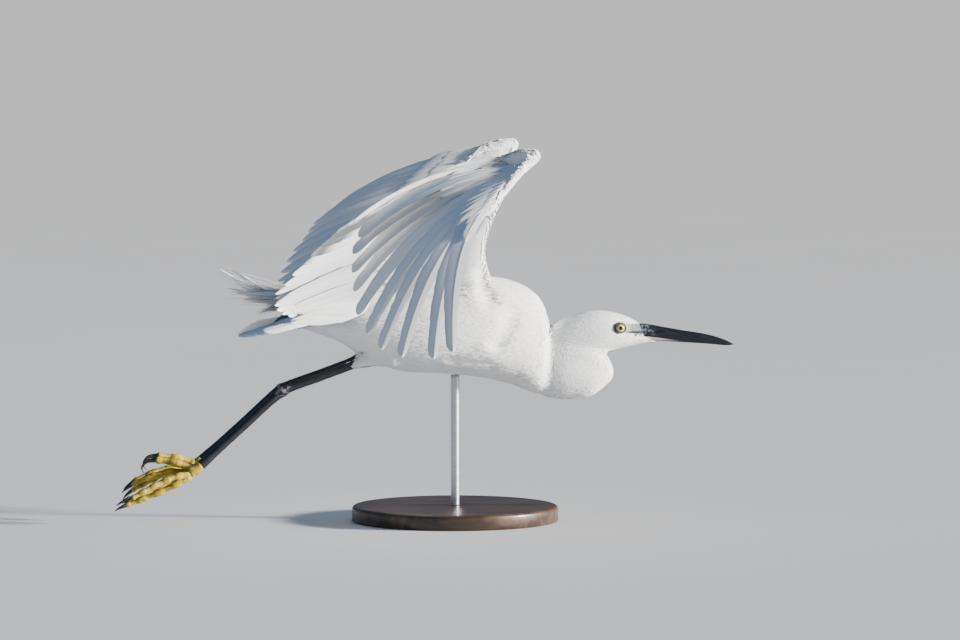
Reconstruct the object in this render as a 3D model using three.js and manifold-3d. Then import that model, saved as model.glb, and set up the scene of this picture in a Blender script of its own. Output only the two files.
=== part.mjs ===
// A little egret in flight, life size, as a still museum model on a plain display stand.
// The bird faces +X, its left side is +Y and +Z is up. All sizes are in millimetres.
// The origin is the centre of the underside of the stand's round base.
import * as THREE from 'three';
import { mergeVertices } from 'three/addons/utils/BufferGeometryUtils.js';
import Module from 'manifold-3d';

const wasm = await Module();
wasm.setup();

// Driving dimensions: the gap that touching pieces keep, the stand, and the places of the main joints of the body.
const GAP = 0.3;
const BASE_RADIUS = 95;
const BASE_HEIGHT = 14;
const BASE_EDGE = 3;
const ROD_RADIUS = 4;
const ROD_TOP = 165;

const EYE_RADIUS = 5.2;
const EYE = new THREE.Vector3(151.2, 12.1, 177.7);
const LID_RADIUS = 4.9;
const LID_THICKNESS = 0.95;

const WRIST = new THREE.Vector3(65, 104, 340.5);
const HAND_TIP = new THREE.Vector3(15, 160, 291);
const VANE_THICKNESS = 0.6;
const SHAFT_THICKNESS = 1.1;
// The left wing is a little less spread: near the body its feather tips are this much further forward.
const LEFT_TIPS_FORWARD = 9.5;

const TAIL_ROOT = new THREE.Vector3(-78, 0, 203);
const TAIL_LENGTH = 126;
const TAIL_SPREAD = 31;
const TAIL_SLOPE = 14.5;

const KNEE = new THREE.Vector3(-58, 20, 158);
const SHANK_TOP = new THREE.Vector3(-90, 17, 147.5);
const ANKLE = new THREE.Vector3(-159.5, 15.5, 122.4);
const TOE_BASE = new THREE.Vector3(-235, 15, 54.5);
const SHANK_RADIUS = 3.9;
const ANKLE_RADIUS = 5.4;
const TARSUS_RADIUS = 3.7;
// The right foot trails a little lower than the left one.
const FOOT_DROP = 1.5;

// Materials.
const PLUMAGE = new THREE.MeshStandardMaterial({ color: 0xf4f4f1, roughness: 0.85, metalness: 0 });
const BILL_BLACK = new THREE.MeshStandardMaterial({ color: 0x14161a, roughness: 0.4, metalness: 0 });
const LEG_BLACK = new THREE.MeshStandardMaterial({ color: 0x101216, roughness: 0.5, metalness: 0 });
const FOOT_YELLOW = new THREE.MeshStandardMaterial({ color: 0xc9ad2b, roughness: 0.55, metalness: 0 });
const CLAW_BLACK = new THREE.MeshStandardMaterial({ color: 0x0d0e10, roughness: 0.35, metalness: 0 });
const IRIS_YELLOW = new THREE.MeshStandardMaterial({ color: 0xe2d27a, roughness: 0.15, metalness: 0 });
const BASE_WOOD = new THREE.MeshStandardMaterial({ color: 0x3a2a20, roughness: 0.5, metalness: 0 });
const ROD_STEEL = new THREE.MeshStandardMaterial({ color: 0xb5b8bb, roughness: 0.3, metalness: 1 });

// Small helpers for points, curves and solids.
const point = (x, y, z) => new THREE.Vector3(x, y, z);
const lerp = THREE.MathUtils.lerp;
const radians = THREE.MathUtils.degToRad;

// A smooth curve through a few points, as a function of a share from 0 to 1.
function through(...points) {
  const curve = new THREE.CatmullRomCurve3(points, false, 'centripetal');
  return (share) => curve.getPoint(THREE.MathUtils.clamp(share, 0, 1));
}

// A closed three.js geometry as a solid.
function solidOf(geometry) {
  const bare = geometry.clone();
  bare.deleteAttribute('normal');
  bare.deleteAttribute('uv');
  const merged = mergeVertices(bare, 1e-4);
  return new wasm.Manifold(new wasm.Mesh({
    numProp: 3,
    vertProperties: merged.attributes.position.array,
    triVerts: new Uint32Array(merged.index.array),
  }));
}

// Corner points and triangles as a geometry.
function geometryOf(corners, triangles) {
  const geometry = new THREE.BufferGeometry();
  geometry.setAttribute('position', new THREE.Float32BufferAttribute(corners.flatMap((p) => [p.x, p.y, p.z]), 3));
  geometry.setIndex(triangles);
  return geometry;
}

// A closed skin over rings of points, with each end closed by a fan round its centre.
function loft(rings) {
  const sides = rings[0].length;
  const corners = rings.flat();
  const triangles = [];
  for (let i = 0; i < rings.length - 1; i++) {
    for (let j = 0; j < sides; j++) {
      const a = i * sides + j;
      const b = i * sides + ((j + 1) % sides);
      triangles.push(a, b, a + sides, b, b + sides, a + sides);
    }
  }
  for (const [ring, turned] of [[0, true], [rings.length - 1, false]]) {
    const middle = corners.length;
    corners.push(rings[ring].reduce((sum, p) => sum.add(p), point(0, 0, 0)).divideScalar(sides));
    for (let j = 0; j < sides; j++) {
      const a = ring * sides + j;
      const b = ring * sides + ((j + 1) % sides);
      triangles.push(...(turned ? [b, a, middle] : [a, b, middle]));
    }
  }
  const made = solidOf(geometryOf(corners, triangles));
  if (made.volume() > 0) return made;
  for (let k = 0; k < triangles.length; k += 3) {
    [triangles[k + 1], triangles[k + 2]] = [triangles[k + 2], triangles[k + 1]];
  }
  return solidOf(geometryOf(corners, triangles));
}

const join = (...solids) => solids.flat().reduce((sum, solid) => sum.add(solid));
const mirrored = (solid) => solid.mirror([0, 1, 0]);

// Only the largest closed surface of a solid, so that a loose scrap or a sealed hollow goes.
function largest(solid) {
  return solid.decompose().reduce((best, piece) => (piece.volume() > best.volume() ? piece : best));
}

// The part of a solid in front of and behind a plane, with the gap between the two.
function parted(solid, at, normal) {
  const n = normal.clone().normalize();
  const offset = at.dot(n);
  return [
    solid.trimByPlane([n.x, n.y, n.z], offset + GAP / 2),
    solid.trimByPlane([-n.x, -n.y, -n.z], -offset + GAP / 2),
  ];
}

// Values between stations along X by cubic steps, for a form that is given by its side and top outlines.
function stationAt(stations, x) {
  const last = stations.length - 1;
  let k = 0;
  while (k < last - 1 && x > stations[k + 1][0]) k++;
  const [a, b] = [stations[k], stations[k + 1]];
  const before = stations[Math.max(k - 1, 0)];
  const after = stations[Math.min(k + 2, last)];
  const span = b[0] - a[0];
  const u = THREE.MathUtils.clamp((x - a[0]) / span, 0, 1);
  return a.map((_, c) => {
    const slopeA = (b[c] - before[c]) / (b[0] - before[0]);
    const slopeB = (after[c] - a[c]) / (after[0] - a[0]);
    return (2 * u ** 3 - 3 * u ** 2 + 1) * a[c] + (u ** 3 - 2 * u ** 2 + u) * span * slopeA
      + (3 * u ** 2 - 2 * u ** 3) * b[c] + (u ** 3 - u ** 2) * span * slopeB;
  });
}

// A rounded form from stations of x, top, bottom and half width. Each section is a superellipse.
function bodyForm(stations, { rings, sides, power = 2.2, grow = 0 }) {
  const first = stations[0][0];
  const last = stations[stations.length - 1][0];
  const made = [];
  for (let i = 0; i <= rings; i++) {
    // The rings are closer together at both ends, where the form turns in.
    const share = 0.5 - 0.5 * Math.cos((Math.PI * i) / rings);
    const [x, top, bottom, half] = stationAt(stations, lerp(first, last, share));
    const ring = [];
    for (let j = 0; j < sides; j++) {
      const turn = (2 * Math.PI * j) / sides;
      const bend = (value) => Math.sign(value) * Math.abs(value) ** (2 / power);
      const shift = i === 0 ? -grow : i === rings ? grow : 0;
      ring.push(point(
        x + shift,
        (half + grow) * bend(Math.sin(turn)),
        (top + bottom) / 2 + ((top - bottom) / 2 + grow) * bend(Math.cos(turn)),
      ));
    }
    made.push(ring);
  }
  return loft(made);
}

// A round limb along a path. The radius is a function of the share of the way.
function limb(path, radius, { rings, sides, flat = 1, up = point(0, 0, 1) }) {
  const made = [];
  for (let i = 0; i <= rings; i++) {
    const share = i / rings;
    const at = path(share);
    const along = path(share + 0.01).sub(path(share - 0.01)).normalize();
    const side = along.clone().cross(up).normalize();
    const over = side.clone().cross(along).normalize();
    const r = radius(share);
    const ring = [];
    for (let j = 0; j < sides; j++) {
      const turn = (2 * Math.PI * (j + 0.5)) / sides;
      ring.push(at.clone()
        .addScaledVector(side, r * flat * Math.cos(turn))
        .addScaledVector(over, r * Math.sin(turn)));
    }
    made.push(ring);
  }
  return loft(made);
}

// Shares of a vane's length at which its outline is set, and the share of its full width there.
const VANE_OUTLINE = [[0, 0.35], [0.3, 0.9], [0.62, 1], [0.9, 0.84], [1, 0.3]];
const COVERT_OUTLINE = [[0, 0.5], [0.62, 1], [1, 0.4]];

// One feather vane: a thin bent plate with a thicker shaft. Both faces are split into the same triangles.
// The path starts at root, ends at tip and bulges by bow. The side that faces outwards turns from normal
// at the root to tipNormal at the tip.
function vane({ root, tip, bow, normal, tipNormal = normal, width, leading = 0.42, outline = VANE_OUTLINE }) {
  const control = root.clone().add(tip).multiplyScalar(0.5).addScaledVector(bow, 2);
  const path = new THREE.QuadraticBezierCurve3(root, control, tip);
  const corners = [];
  const columns = 3;
  for (const [share, wide] of outline) {
    const at = path.getPoint(share);
    const along = path.getTangent(share);
    const side = along.clone().cross(normal.clone().lerp(tipNormal, share)).normalize();
    const over = side.clone().cross(along).normalize();
    const places = [-width * wide * (1 - leading), 0, width * wide * leading];
    for (const face of [0.5, -0.5]) {
      places.forEach((place, column) => {
        const crown = column === 1 ? 0.035 * width * wide : 0;
        const thick = column === 1 ? lerp(SHAFT_THICKNESS, VANE_THICKNESS, share) : VANE_THICKNESS;
        corners.push(at.clone().addScaledVector(side, place).addScaledVector(over, crown + face * thick));
      });
    }
  }
  const triangles = [];
  const top = (i, j) => i * 2 * columns + j;
  const under = (i, j) => top(i, j) + columns;
  const quad = (a, b, c, d) => triangles.push(a, b, c, a, c, d);
  const last = outline.length - 1;
  for (let i = 0; i < last; i++) {
    for (let j = 0; j < columns - 1; j++) {
      triangles.push(top(i, j), top(i, j + 1), top(i + 1, j + 1), top(i, j), top(i + 1, j + 1), top(i + 1, j));
      triangles.push(under(i, j), under(i + 1, j + 1), under(i, j + 1));
      triangles.push(under(i, j), under(i + 1, j), under(i + 1, j + 1));
    }
    quad(top(i, 0), top(i + 1, 0), under(i + 1, 0), under(i, 0));
    quad(top(i + 1, columns - 1), top(i, columns - 1), under(i, columns - 1), under(i + 1, columns - 1));
  }
  for (let j = 0; j < columns - 1; j++) {
    quad(top(0, j + 1), top(0, j), under(0, j), under(0, j + 1));
    quad(top(last, j), top(last, j + 1), under(last, j + 1), under(last, j));
  }
  const made = solidOf(geometryOf(corners, triangles));
  if (made.volume() > 0) return made;
  for (let k = 0; k < triangles.length; k += 3) {
    [triangles[k + 1], triangles[k + 2]] = [triangles[k + 2], triangles[k + 1]];
  }
  return solidOf(geometryOf(corners, triangles));
}

// A row of vanes side by side. root, tip and bow are functions of the place in the row, from 0 to 1.
// The outward side and the step from vane to vane come from the sheet that the row forms. Each vane is
// overlap steps wide, tilt lays it on the next one like a shingle, and lift moves the row off the sheet.
// With a facing direction for both ends the vanes turn to it, like the slats of an open blind.
function vaneRow({ count, root, tip, bow, overlap, tilt, facing, lift = 0, widest = 99, ...rest }) {
  const row = [];
  for (let i = 0; i < count; i++) {
    const place = i / (count - 1);
    const from = root(place);
    const to = tip(place);
    const along = to.clone().sub(from).normalize();
    const [low, high] = [Math.max(place - 0.05, 0), Math.min(place + 0.05, 1)];
    // The way from this vane to the next one, at the roots and at the tips.
    const ways = [root, tip].map((end) => end(high).sub(end(low)).divideScalar((high - low) * (count - 1)));
    const [rootOver, tipOver] = ways.map((way) => way.clone().cross(along));
    const step = lerp(rootOver.length(), tipOver.length(), 0.6);
    const [rootSide, tipSide] = [rootOver, tipOver].map((over, end) => (facing
      ? facing(place, end).projectOnPlane(along)
      : over.applyAxisAngle(along, radians(tilt(place)))).normalize());
    row.push(vane({
      normal: rootSide,
      tipNormal: tipSide,
      root: from.addScaledVector(rootSide, lift * 0.4),
      tip: to.addScaledVector(tipSide, lift),
      bow: bow(place),
      width: Math.min(overlap(place) * step, widest),
      ...rest,
    }));
  }
  return row;
}

// Trunk, from under the tail to the swell at the base of the folded neck: x, top, bottom, half width.
const TRUNK = [
  [-147, 185, 180, 4],
  [-132, 194, 174.5, 16],
  [-108, 203, 166, 27],
  [-84, 209, 151, 35],
  [-52, 214, 138.5, 41],
  [-10, 219, 135.5, 43.5],
  [30, 226, 130.5, 40],
  [54, 221.5, 124, 33],
  [71, 212.5, 117.5, 27],
  [82, 199.5, 116, 20.5],
  [88, 178, 122, 10],
];
// The loop of the folded neck in front of the trunk.
const NECK_LOOP = [
  [74, 168, 119, 8],
  [82, 175, 114.2, 14.5],
  [96, 180, 110.6, 17.5],
  [112, 180, 110.8, 18],
  [126, 172, 113.4, 17],
  [136, 160, 120.4, 14.5],
  [143, 148, 126.6, 10.5],
  [146.6, 139, 132, 4],
];
// Head, from the nape to the point of the chin feathers.
const HEAD = [
  [83, 174, 160, 6],
  [90, 180.2, 152, 13],
  [100, 186.4, 148, 16],
  [114, 191.8, 149, 17.3],
  [130, 194, 151.5, 17.6],
  [145, 192.6, 155.8, 16.2],
  [158, 188.8, 158.2, 12.8],
  [168, 183.6, 160, 9.4],
  [178, 176.5, 161.6, 6.6],
  [190, 168.6, 163.2, 3.6],
  [196, 166, 164.2, 1.2],
];

// Trunk, neck and head as one form. A grown copy cuts what grows from it.
function bodyWhole(grow) {
  return join(
    bodyForm(TRUNK, { rings: 16, sides: 20, power: 2.15, grow }),
    bodyForm(NECK_LOOP, { rings: 9, sides: 16, power: 2.2, grow }),
    bodyForm(HEAD, { rings: 13, sides: 16, power: 2.15, grow }),
  );
}
const body = bodyWhole(0);
const bodyGrown = bodyWhole(GAP);

// The cuts that divide the body: rump to torso, shoulders to neck base, neck base to neck loop, and neck loop to head.
const RUMP_PLANE = [point(-108, 0, 185), point(1, 0, -0.1)];
const [fore, rump] = parted(body, ...RUMP_PLANE);
const [front, torsoWhole] = parted(fore, point(43, 0, 180), point(1, 0, 0.12));
const [loopAndHead, neckBaseWhole] = parted(front, point(88.4, 0, 150), point(1, 0, 0.04));
const [headWhole, neckLoopWhole] = parted(loopAndHead, point(114, 0, 153.5), point(-0.1, 0, 1));

// Upper and lower halves of the bill: x, top, bottom, half width. The line between them is the mouth.
const MOUTH_LINE = [[160, 172.2], [177.6, 169.9], [203, 166.9], [235.5, 164.1], [257.6, 160.8]];
const mouthAt = (x) => stationAt(MOUTH_LINE, x)[1];
const BILL_TOP = [[162, 178], [172, 181], [193, 177.6], [212, 174.2], [227, 171.8], [240, 168.8], [251, 164.9], [258.4, 161.2]];
const BILL_FOOT = [[160, 165], [177.6, 164.4], [192, 164.2], [218.5, 162.7], [235.5, 161.5], [248, 160.3], [254, 160]];
const BILL_WIDTH = [[160, 8.2], [176, 6.2], [195, 4.6], [225, 3.1], [246, 1.8], [258.4, 0.5]];
const widthAt = (x) => stationAt(BILL_WIDTH, x)[1];

// A ring round the bill at a place along it, from the right corner of the mouth over the top and back below.
// A grown ring makes the room in the head; only one half of the ring is used for each half of the bill.
function billRing(x, halves, grow = 0) {
  const half = widthAt(x) + grow;
  const ring = [];
  for (const side of halves) {
    const edge = mouthAt(x) + (halves.length === 1 ? (side * GAP) / 2 : 0);
    const outer = stationAt(side > 0 ? BILL_TOP : BILL_FOOT, x)[1] + side * grow;
    const depth = side * Math.max(side * (outer - edge), 0.25);
    for (let j = 0; j <= 8 - halves.length; j++) {
      const turn = (Math.PI * j) / 7;
      ring.push(point(x, half * side * Math.cos(turn), edge + depth * Math.sin(turn) ** 0.8));
    }
  }
  return ring;
}
const billHalf = (side, to, rings) => loft(Array.from(
  { length: rings + 1 }, (_, i) => billRing(lerp(164, to, i / rings), [side]),
));
const billRoom = loft([163.6, 172, 180, 190, 200, 212].map((x) => billRing(x, [1, -1], 0.5)));
const nostril = (side) => solidOf(new THREE.SphereGeometry(1, 6, 4)).scale([4.6, 0.8, 0.75])
  .rotate([0, 6, side * -4]).translate([184, side * widthAt(184) * 0.86, 174.6]);
const upperBill = billHalf(1, 258.2, 11).subtract(nostril(1)).subtract(nostril(-1));
const lowerBill = billHalf(-1, 255, 10);

// Eyes, and the head with its sockets, lids and the corner of the mouth.
const eyeball = (side, radius, around, down) => solidOf(new THREE.SphereGeometry(radius, around, down))
  .translate([EYE.x, side * EYE.y, EYE.z]);
const lid = (side) => solidOf(new THREE.TorusGeometry(LID_RADIUS, LID_THICKNESS, 3, 10))
  .rotate([90, 0, 0]).rotate([0, 0, side * -13]).translate([EYE.x, side * (EYE.y + 2.1), EYE.z]);
const mouthCorner = (side) => solidOf(new THREE.SphereGeometry(1, 6, 4)).scale([9, 1.4, 0.6])
  .rotate([0, 5, side * 19]).translate([160, side * 11.6, 171.6]);
const headShaped = [1, -1].reduce(
  (made, side) => made.add(lid(side)).subtract(eyeball(side, EYE_RADIUS + 2 * GAP, 9, 5)).subtract(mouthCorner(side)),
  headWhole,
).subtract(billRoom);

// Wings. Both are built on the left and the right one is then mirrored.
// Curves over the inner wing run from the body at 0 to the wrist at 1.
const armFront = through(point(34, 10, 222), point(21, 55, 254), point(30, 92, 294), point(49, 108, 322), point(77, 106, 347.5));
const armRear = through(point(-22, 10, 214), point(-20, 60, 256), point(-4, 78, 277), point(20, 92, 308), point(43, 100, 341));
const innerRoot = through(point(-4, 22, 219), point(-14, 58, 254), point(-4, 74, 272), point(26, 91, 305), point(50, 101, 335));
const innerTip = through(
  point(-157, 40, 197), point(-168, 62, 204), point(-168, 82, 217), point(-144, 102, 245),
  point(-123, 114, 268), point(-98, 120, 285),
);
// The plane through the wrist that parts the inner wing from the outer one.
const WRIST_PLANE = [point(58, 105.5, 335), point(0.086, 0.995, 0.034)];

// The flesh of the inner wing: flat sections between its front and rear edges.
function armFlesh() {
  const made = [];
  const rings = 7;
  // The last two rings lie close together and round off the end at the wrist.
  for (let i = 0; i <= rings + 1; i++) {
    const share = Math.min(i / rings, 1);
    const rounding = [1, 0.8, 0.4][Math.max(i - rings + 1, 0)];
    const fore = armFront(share);
    const rear = armRear(share);
    const middle = fore.clone().add(rear).multiplyScalar(0.5);
    const chord = fore.clone().sub(rear).multiplyScalar(0.5);
    const next = armFront(share + 0.02).add(armRear(share + 0.02)).multiplyScalar(0.5);
    const last = armFront(share - 0.02).add(armRear(share - 0.02)).multiplyScalar(0.5);
    const along = next.sub(last).normalize();
    const over = chord.clone().normalize().cross(along).normalize();
    if (i > rings) middle.addScaledVector(along, 2.6);
    const thick = lerp(9, 4.6, share) * rounding;
    const ring = [];
    for (let j = 0; j < 8; j++) {
      const turn = (2 * Math.PI * j) / 8;
      ring.push(middle.clone()
        .addScaledVector(chord, Math.cos(turn) * rounding)
        .addScaledVector(over, thick * Math.sin(turn)));
    }
    made.push(ring);
  }
  return loft(made);
}

// Part of the way along each flight feather of the inner wing, for the tips of a tier of coverts.
const shareOf = (root, tip, share, rise) => (place) => {
  const reach = share(place);
  return root(place).lerp(tip(place), reach).add(innerBow(place).multiplyScalar(4 * reach * (1 - reach) * rise));
};
const innerBow = (place) => point(-1, -2.4, 11).multiplyScalar(lerp(0.6, 1.15, place));

function innerWing(forward) {
  const flightTip = (place) => innerTip(place)
    .add(point(forward * (1 - THREE.MathUtils.smoothstep(place, 0.3, 0.85)), 0, 0));
  const flight = vaneRow({
    count: 13, root: innerRoot, tip: flightTip, bow: innerBow, overlap: () => 1.42, tilt: () => -12,
  });
  const coverTip = shareOf(innerRoot, flightTip, (place) => lerp(0.52, 0.46, place), 1);
  const greater = vaneRow({
    count: 6, root: (place) => innerRoot(0.03 + place * 0.97), tip: (place) => coverTip(0.03 + place * 0.97),
    bow: (place) => innerBow(place).multiplyScalar(0.25), overlap: () => 1.25, tilt: () => -4, lift: 3.8,
    outline: COVERT_OUTLINE,
  });
  const shortTip = shareOf(innerRoot, flightTip, () => 0.22, 1);
  const lesser = vaneRow({
    count: 4, root: (place) => armFront(0.12 + place * 0.88).lerp(armRear(0.12 + place * 0.88), 0.55),
    tip: (place) => shortTip(0.1 + place * 0.9), bow: () => point(0, 0, 0.5),
    overlap: () => 1.2, tilt: () => -3, lift: 5.4, leading: 0.3, outline: COVERT_OUTLINE,
  });
  const underTip = shareOf(innerRoot, flightTip, () => 0.34, 1);
  const under = vaneRow({
    count: 5, root: (place) => innerRoot(0.1 + place * 0.84), tip: (place) => underTip(0.1 + place * 0.84),
    bow: (place) => innerBow(place).multiplyScalar(0.12), overlap: () => 1.2, tilt: () => -4, lift: -4.4,
    outline: COVERT_OUTLINE,
  });
  return join(armFlesh(), flight, greater, lesser, under);
}

// The outer wing hangs from the wrist. Its curves run from the innermost primary at 0 to the outermost at 1.
const primaryRoot = through(point(51, 108, 332), point(43, 124, 324.5), point(27, 141, 309), point(14.5, 159, 293.5));
const primaryTip = through(
  point(-97, 121, 269), point(-102, 118, 254), point(-102.5, 116, 237), point(-101, 116, 220),
  point(-99.5, 139, 200.5), point(-93, 181, 186), point(-83.4, 217, 175), point(-68, 254, 171),
  point(-42.3, 284, 172), point(-26.2, 293, 178.5),
);
const primaryBow = (place) => point(-9, 4.5, 15).multiplyScalar(lerp(0.8, 1.1, place));
// The way that a primary faces at its root, where end is 0, and at its tip, where end is 1.
const slatFacing = (place, end) => (end ? point(-0.5, 0.73, 0.46) : point(-0.36, 0.24, 0.9))
  .lerp(point(-0.26, 0.82, 0.5), place);

function handFlesh() {
  const spine = through(WRIST.clone(), point(46, 122, 325), point(29, 141, 307), HAND_TIP.clone());
  return limb(spine, (share) => lerp(7.2, 3.2, share), { rings: 4, sides: 8, flat: 0.75, up: point(0.7, 0.2, 0.7) });
}

function outerWing() {
  const flight = vaneRow({
    count: 10, root: primaryRoot, tip: primaryTip, bow: primaryBow, overlap: () => 9, widest: 17,
    facing: slatFacing, leading: 0.36,
    outline: [[0, 0.45], [0.3, 0.92], [0.58, 0.95], [0.87, 0.64], [1, 0.28]],
  });
  const coverTip = (place) => primaryRoot(place).lerp(primaryTip(place), lerp(0.42, 0.3, place))
    .add(primaryBow(place).multiplyScalar(0.9));
  const covers = vaneRow({
    count: 5, root: primaryRoot, tip: coverTip, bow: (place) => primaryBow(place).multiplyScalar(0.15),
    overlap: () => 1.25, widest: 20, facing: slatFacing, lift: 5.5, outline: COVERT_OUTLINE,
  });
  const alula = vaneRow({
    count: 2, root: (place) => point(48, 122, 326).lerp(point(36, 135, 315), place),
    tip: (place) => point(16, 138, 290).lerp(point(10, 152, 271), place),
    bow: () => point(-1, 2, 3), overlap: () => 1, widest: 10, tilt: () => -4, lift: 5, outline: COVERT_OUTLINE,
  });
  return join(handFlesh(), flight, covers, alula);
}

const innerNode = (forward) => largest(parted(innerWing(forward), ...WRIST_PLANE)[1].subtract(bodyGrown));
const innerNodes = { left: innerNode(LEFT_TIPS_FORWARD), right: innerNode(0) };
const outerNode = largest(parted(outerWing(), ...WRIST_PLANE)[0]);

// Tail: a fan of vanes with the middle pair on top, and a tier of coverts over its root.
function tailFan() {
  const slope = radians(TAIL_SLOPE);
  const reach = (turn, length) => TAIL_ROOT.clone().add(point(
    -length * Math.cos(turn) * Math.cos(slope),
    length * Math.sin(turn),
    -length * Math.cos(turn) * Math.sin(slope),
  ));
  const fan = (count, spread, length, width, lift, outline) => {
    const made = [];
    for (let i = 0; i < count; i++) {
      const place = (2 * i) / (count - 1) - 1;
      const turn = radians(spread) * place;
      made.push(vane({
        root: reach(turn, 34).add(point(0, 0, lift - 3 * Math.abs(place))),
        tip: reach(turn, length * (1 - 0.035 * place ** 2)).add(point(0, 0, lift + 2.5 * Math.abs(place))),
        bow: point(0, 0, 1.5 - Math.abs(place)),
        normal: point(-0.2, 0.2 * Math.sign(place) + 0.35 * place, 1),
        tipNormal: point(-0.2, 0.2 * Math.sign(place) + 0.25 * place, 1),
        width,
        leading: 0.5 - 0.1 * Math.sign(place),
        outline,
      }));
    }
    return made;
  };
  return join(rump, parted(join(
    fan(12, TAIL_SPREAD, TAIL_LENGTH, 13.5, 0, [[0, 0.3], [0.5, 0.92], [0.88, 0.86], [1, 0.3]]),
    fan(4, 20, 78, 20, 5.4, COVERT_OUTLINE),
  ), ...RUMP_PLANE)[1]);
}
const tailNode = largest(tailFan());

// Loose plumes that trail from the back over the tail: tip, sideways root, width and rise of the middle.
const PLUMES = [
  [point(-222.5, 3, 236), 3, 13, -19],
  [point(-206, -6, 226), -7, 13, -15],
  [point(-214, 11, 213), 10, 10, -4],
  [point(-200, -13, 206), -11, 9, -1.5],
  [point(-196, 16, 203), 14, 7, 0.5],
  [point(-186, 6, 192), 6, 6, 1.5],
];
function backPlumes() {
  const patch = bodyForm(
    [[-92, 211, 204, 6], [-74, 214, 203, 14], [-56, 216.5, 206, 15], [-40, 217, 210, 8]],
    { rings: 4, sides: 10 },
  );
  const made = PLUMES.map(([tip, across, width, rise], index) => vane({
    root: point(-62, across, 213.5 + 0.5 * (index % 3)),
    tip,
    bow: point(0, 0, rise),
    normal: point(0.1, 0.7 * Math.sign(across), 0.7),
    width,
    leading: 0.5,
    outline: [[0, 0.6], [0.4, 1], [0.76, 0.8], [1, 0.12]],
  }));
  return join(patch, made);
}
const plumeNode = largest(backPlumes().subtract(bodyGrown));

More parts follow.
